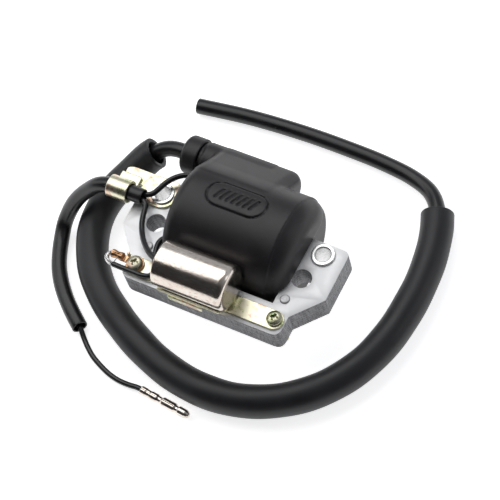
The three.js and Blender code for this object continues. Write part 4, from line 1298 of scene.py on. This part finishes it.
add_piece("ring_tag", *grow(ring_distance, ring_low, ring_high, 0.16), "copper", ["ring_terminal"], sharp=60)

# %% [markdown]
# The bullet is rolled from thin tinned strip: a crimp on the bare wire, a barrel with a seam along it, a
# neck, and the springy nose that snaps into a socket.

# %% The bullet
BULLET_LENGTH, BULLET_OVERLAP = 22.6, 1.8
wire_end, wire_before = np.array(PRIMARY_ROUTE[-1]), np.array(PRIMARY_ROUTE[-2])
heading = math.atan2(wire_end[1] - wire_before[1], wire_end[0] - wire_before[0])


def bullet_distance(p):
    """The bullet along its own X, with the wire's end at the origin."""
    x, y, z = np.moveaxis(p, -1, 0)
    across = np.hypot(y, z)
    stations = [-1.8, 0.4, 1.2, 2.6, 3.6, 4.4, 6.2, 7, 8.4, 9.4, 15.2, 15.9, 16.8, 17.5, 20.6, 21.8, 22.6]
    radii = [1.9, 1.9, 1.72, 1.72, 1.9, 1.9, 1.9, 1.5, 1.5, 2.05, 2.05, 1.5, 1.5, 1.95, 1.9, 1.45, 0.7]
    outline = across - np.interp(x, stations, radii)
    solid = raised(outline * 0.85, x, -BULLET_OVERLAP, BULLET_LENGTH, 0.15)
    seam = np.maximum(np.abs(y) - 0.1, -z + 0.9)
    solid = cut(solid, np.maximum(seam, np.abs(x - 12.2) - 2.8), 0.12)
    solid = cut(solid, np.maximum(seam, x - 6), 0.12)
    solid = cut(solid, np.maximum(np.abs(z) - 0.12, np.abs(x - 20) - 2.4) + 0 * y, 0.1)
    return cut(solid, np.maximum(across - 1.42, x - 0.3), 0.12)


bullet_points, bullet_faces = grow(bullet_distance, (-1.8, -2.1, -2.1), (BULLET_LENGTH, 2.1, 2.1), 0.14)
turned = np.array([
    [math.cos(heading), -math.sin(heading), 0],
    [math.sin(heading), math.cos(heading), 0],
    [0, 0, 1],
])
bullet = add_piece(
    "bullet_plug", bullet_points @ turned.T + wire_end, bullet_faces, "nickel", ["bullet_terminal"], sharp=60)

# %% [markdown]
# ## Inner parts
#
# The bobbins, windings, seals and contact are shut inside. Their shapes in the frame are right as they
# are, so they keep them, and get a small bevel and their real finishes.

# %% Finishes of the inner parts
INNER = {
    "primary_bobbin": "bobbin_plastic",
    "secondary_bobbin": "bobbin_plastic",
    "primary_winding": "copper",
    "secondary_winding": "copper",
    "ht_contact": "brass",
    "thrust_washer": "bright_steel",
    "lead_seal": "rubber",
    "condenser_roll": "paper",
}
for node, slot in INNER.items():
    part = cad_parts[node]
    part.data.materials.clear()
    part.data.materials.append(COPPER_WINDING if "winding" in node else FINISHES[slot])
    bevel = part.modifiers.new("eased_edges", "BEVEL")
    bevel.width = 0.12 * MM
    bevel.segments = 2
    bevel.limit_method = "ANGLE"
    bevel.angle_limit = math.radians(35)
print("inner parts:", len(INNER))

# %% [markdown]
# ## Cords, floor and sizes
#
# The length of each free lead is printed. The floor is a plain pale sheet, just under the
# lowest point.

lead_line[0] * MM
lead_line * MM
lead_sleeve_line[0] * MM
lead_sleeve_line * MM
primary_line[0] * MM
primary_line * MM
wire_sleeve_line[0] * MM
wire_sleeve_line * MM
cord_lines = (lead_line, lead_sleeve_line, primary_line, wire_sleeve_line)
print("cords, mm long:", [round(length_of(line), 1) for line in cord_lines])

# %% The floor
floor_finish = Finish("floor", roughness=0.75, emission_strength=0.76)
floor_shade = floor_finish.place.noise(300).ramp(0.3, 0.7)
floor_finish.feed(
    base_color=floor_shade.tint((0.9, 0.9, 0.9), (0.93, 0.93, 0.93)),
    emission_color=floor_shade.tint((0.98, 0.98, 0.99), (1, 1, 1)),
)
floor_mesh = bpy.data.meshes.new("floor")
FLOOR_HALF, FLOOR_DROP = 3.0, 0.0002
floor_mesh.from_pydata(
    [(x * FLOOR_HALF, y * FLOOR_HALF, -FLOOR_DROP) for x, y in ((-1, -1), (1, -1), (1, 1), (-1, 1))],
    [], [(0, 1, 2, 3)])
floor_mesh.materials.append(floor_finish.material)
floor = bpy.data.objects.new("floor", floor_mesh)
bpy.context.scene.collection.objects.link(floor)
print("floor lies", FLOOR_DROP, "m under the frame's zero")
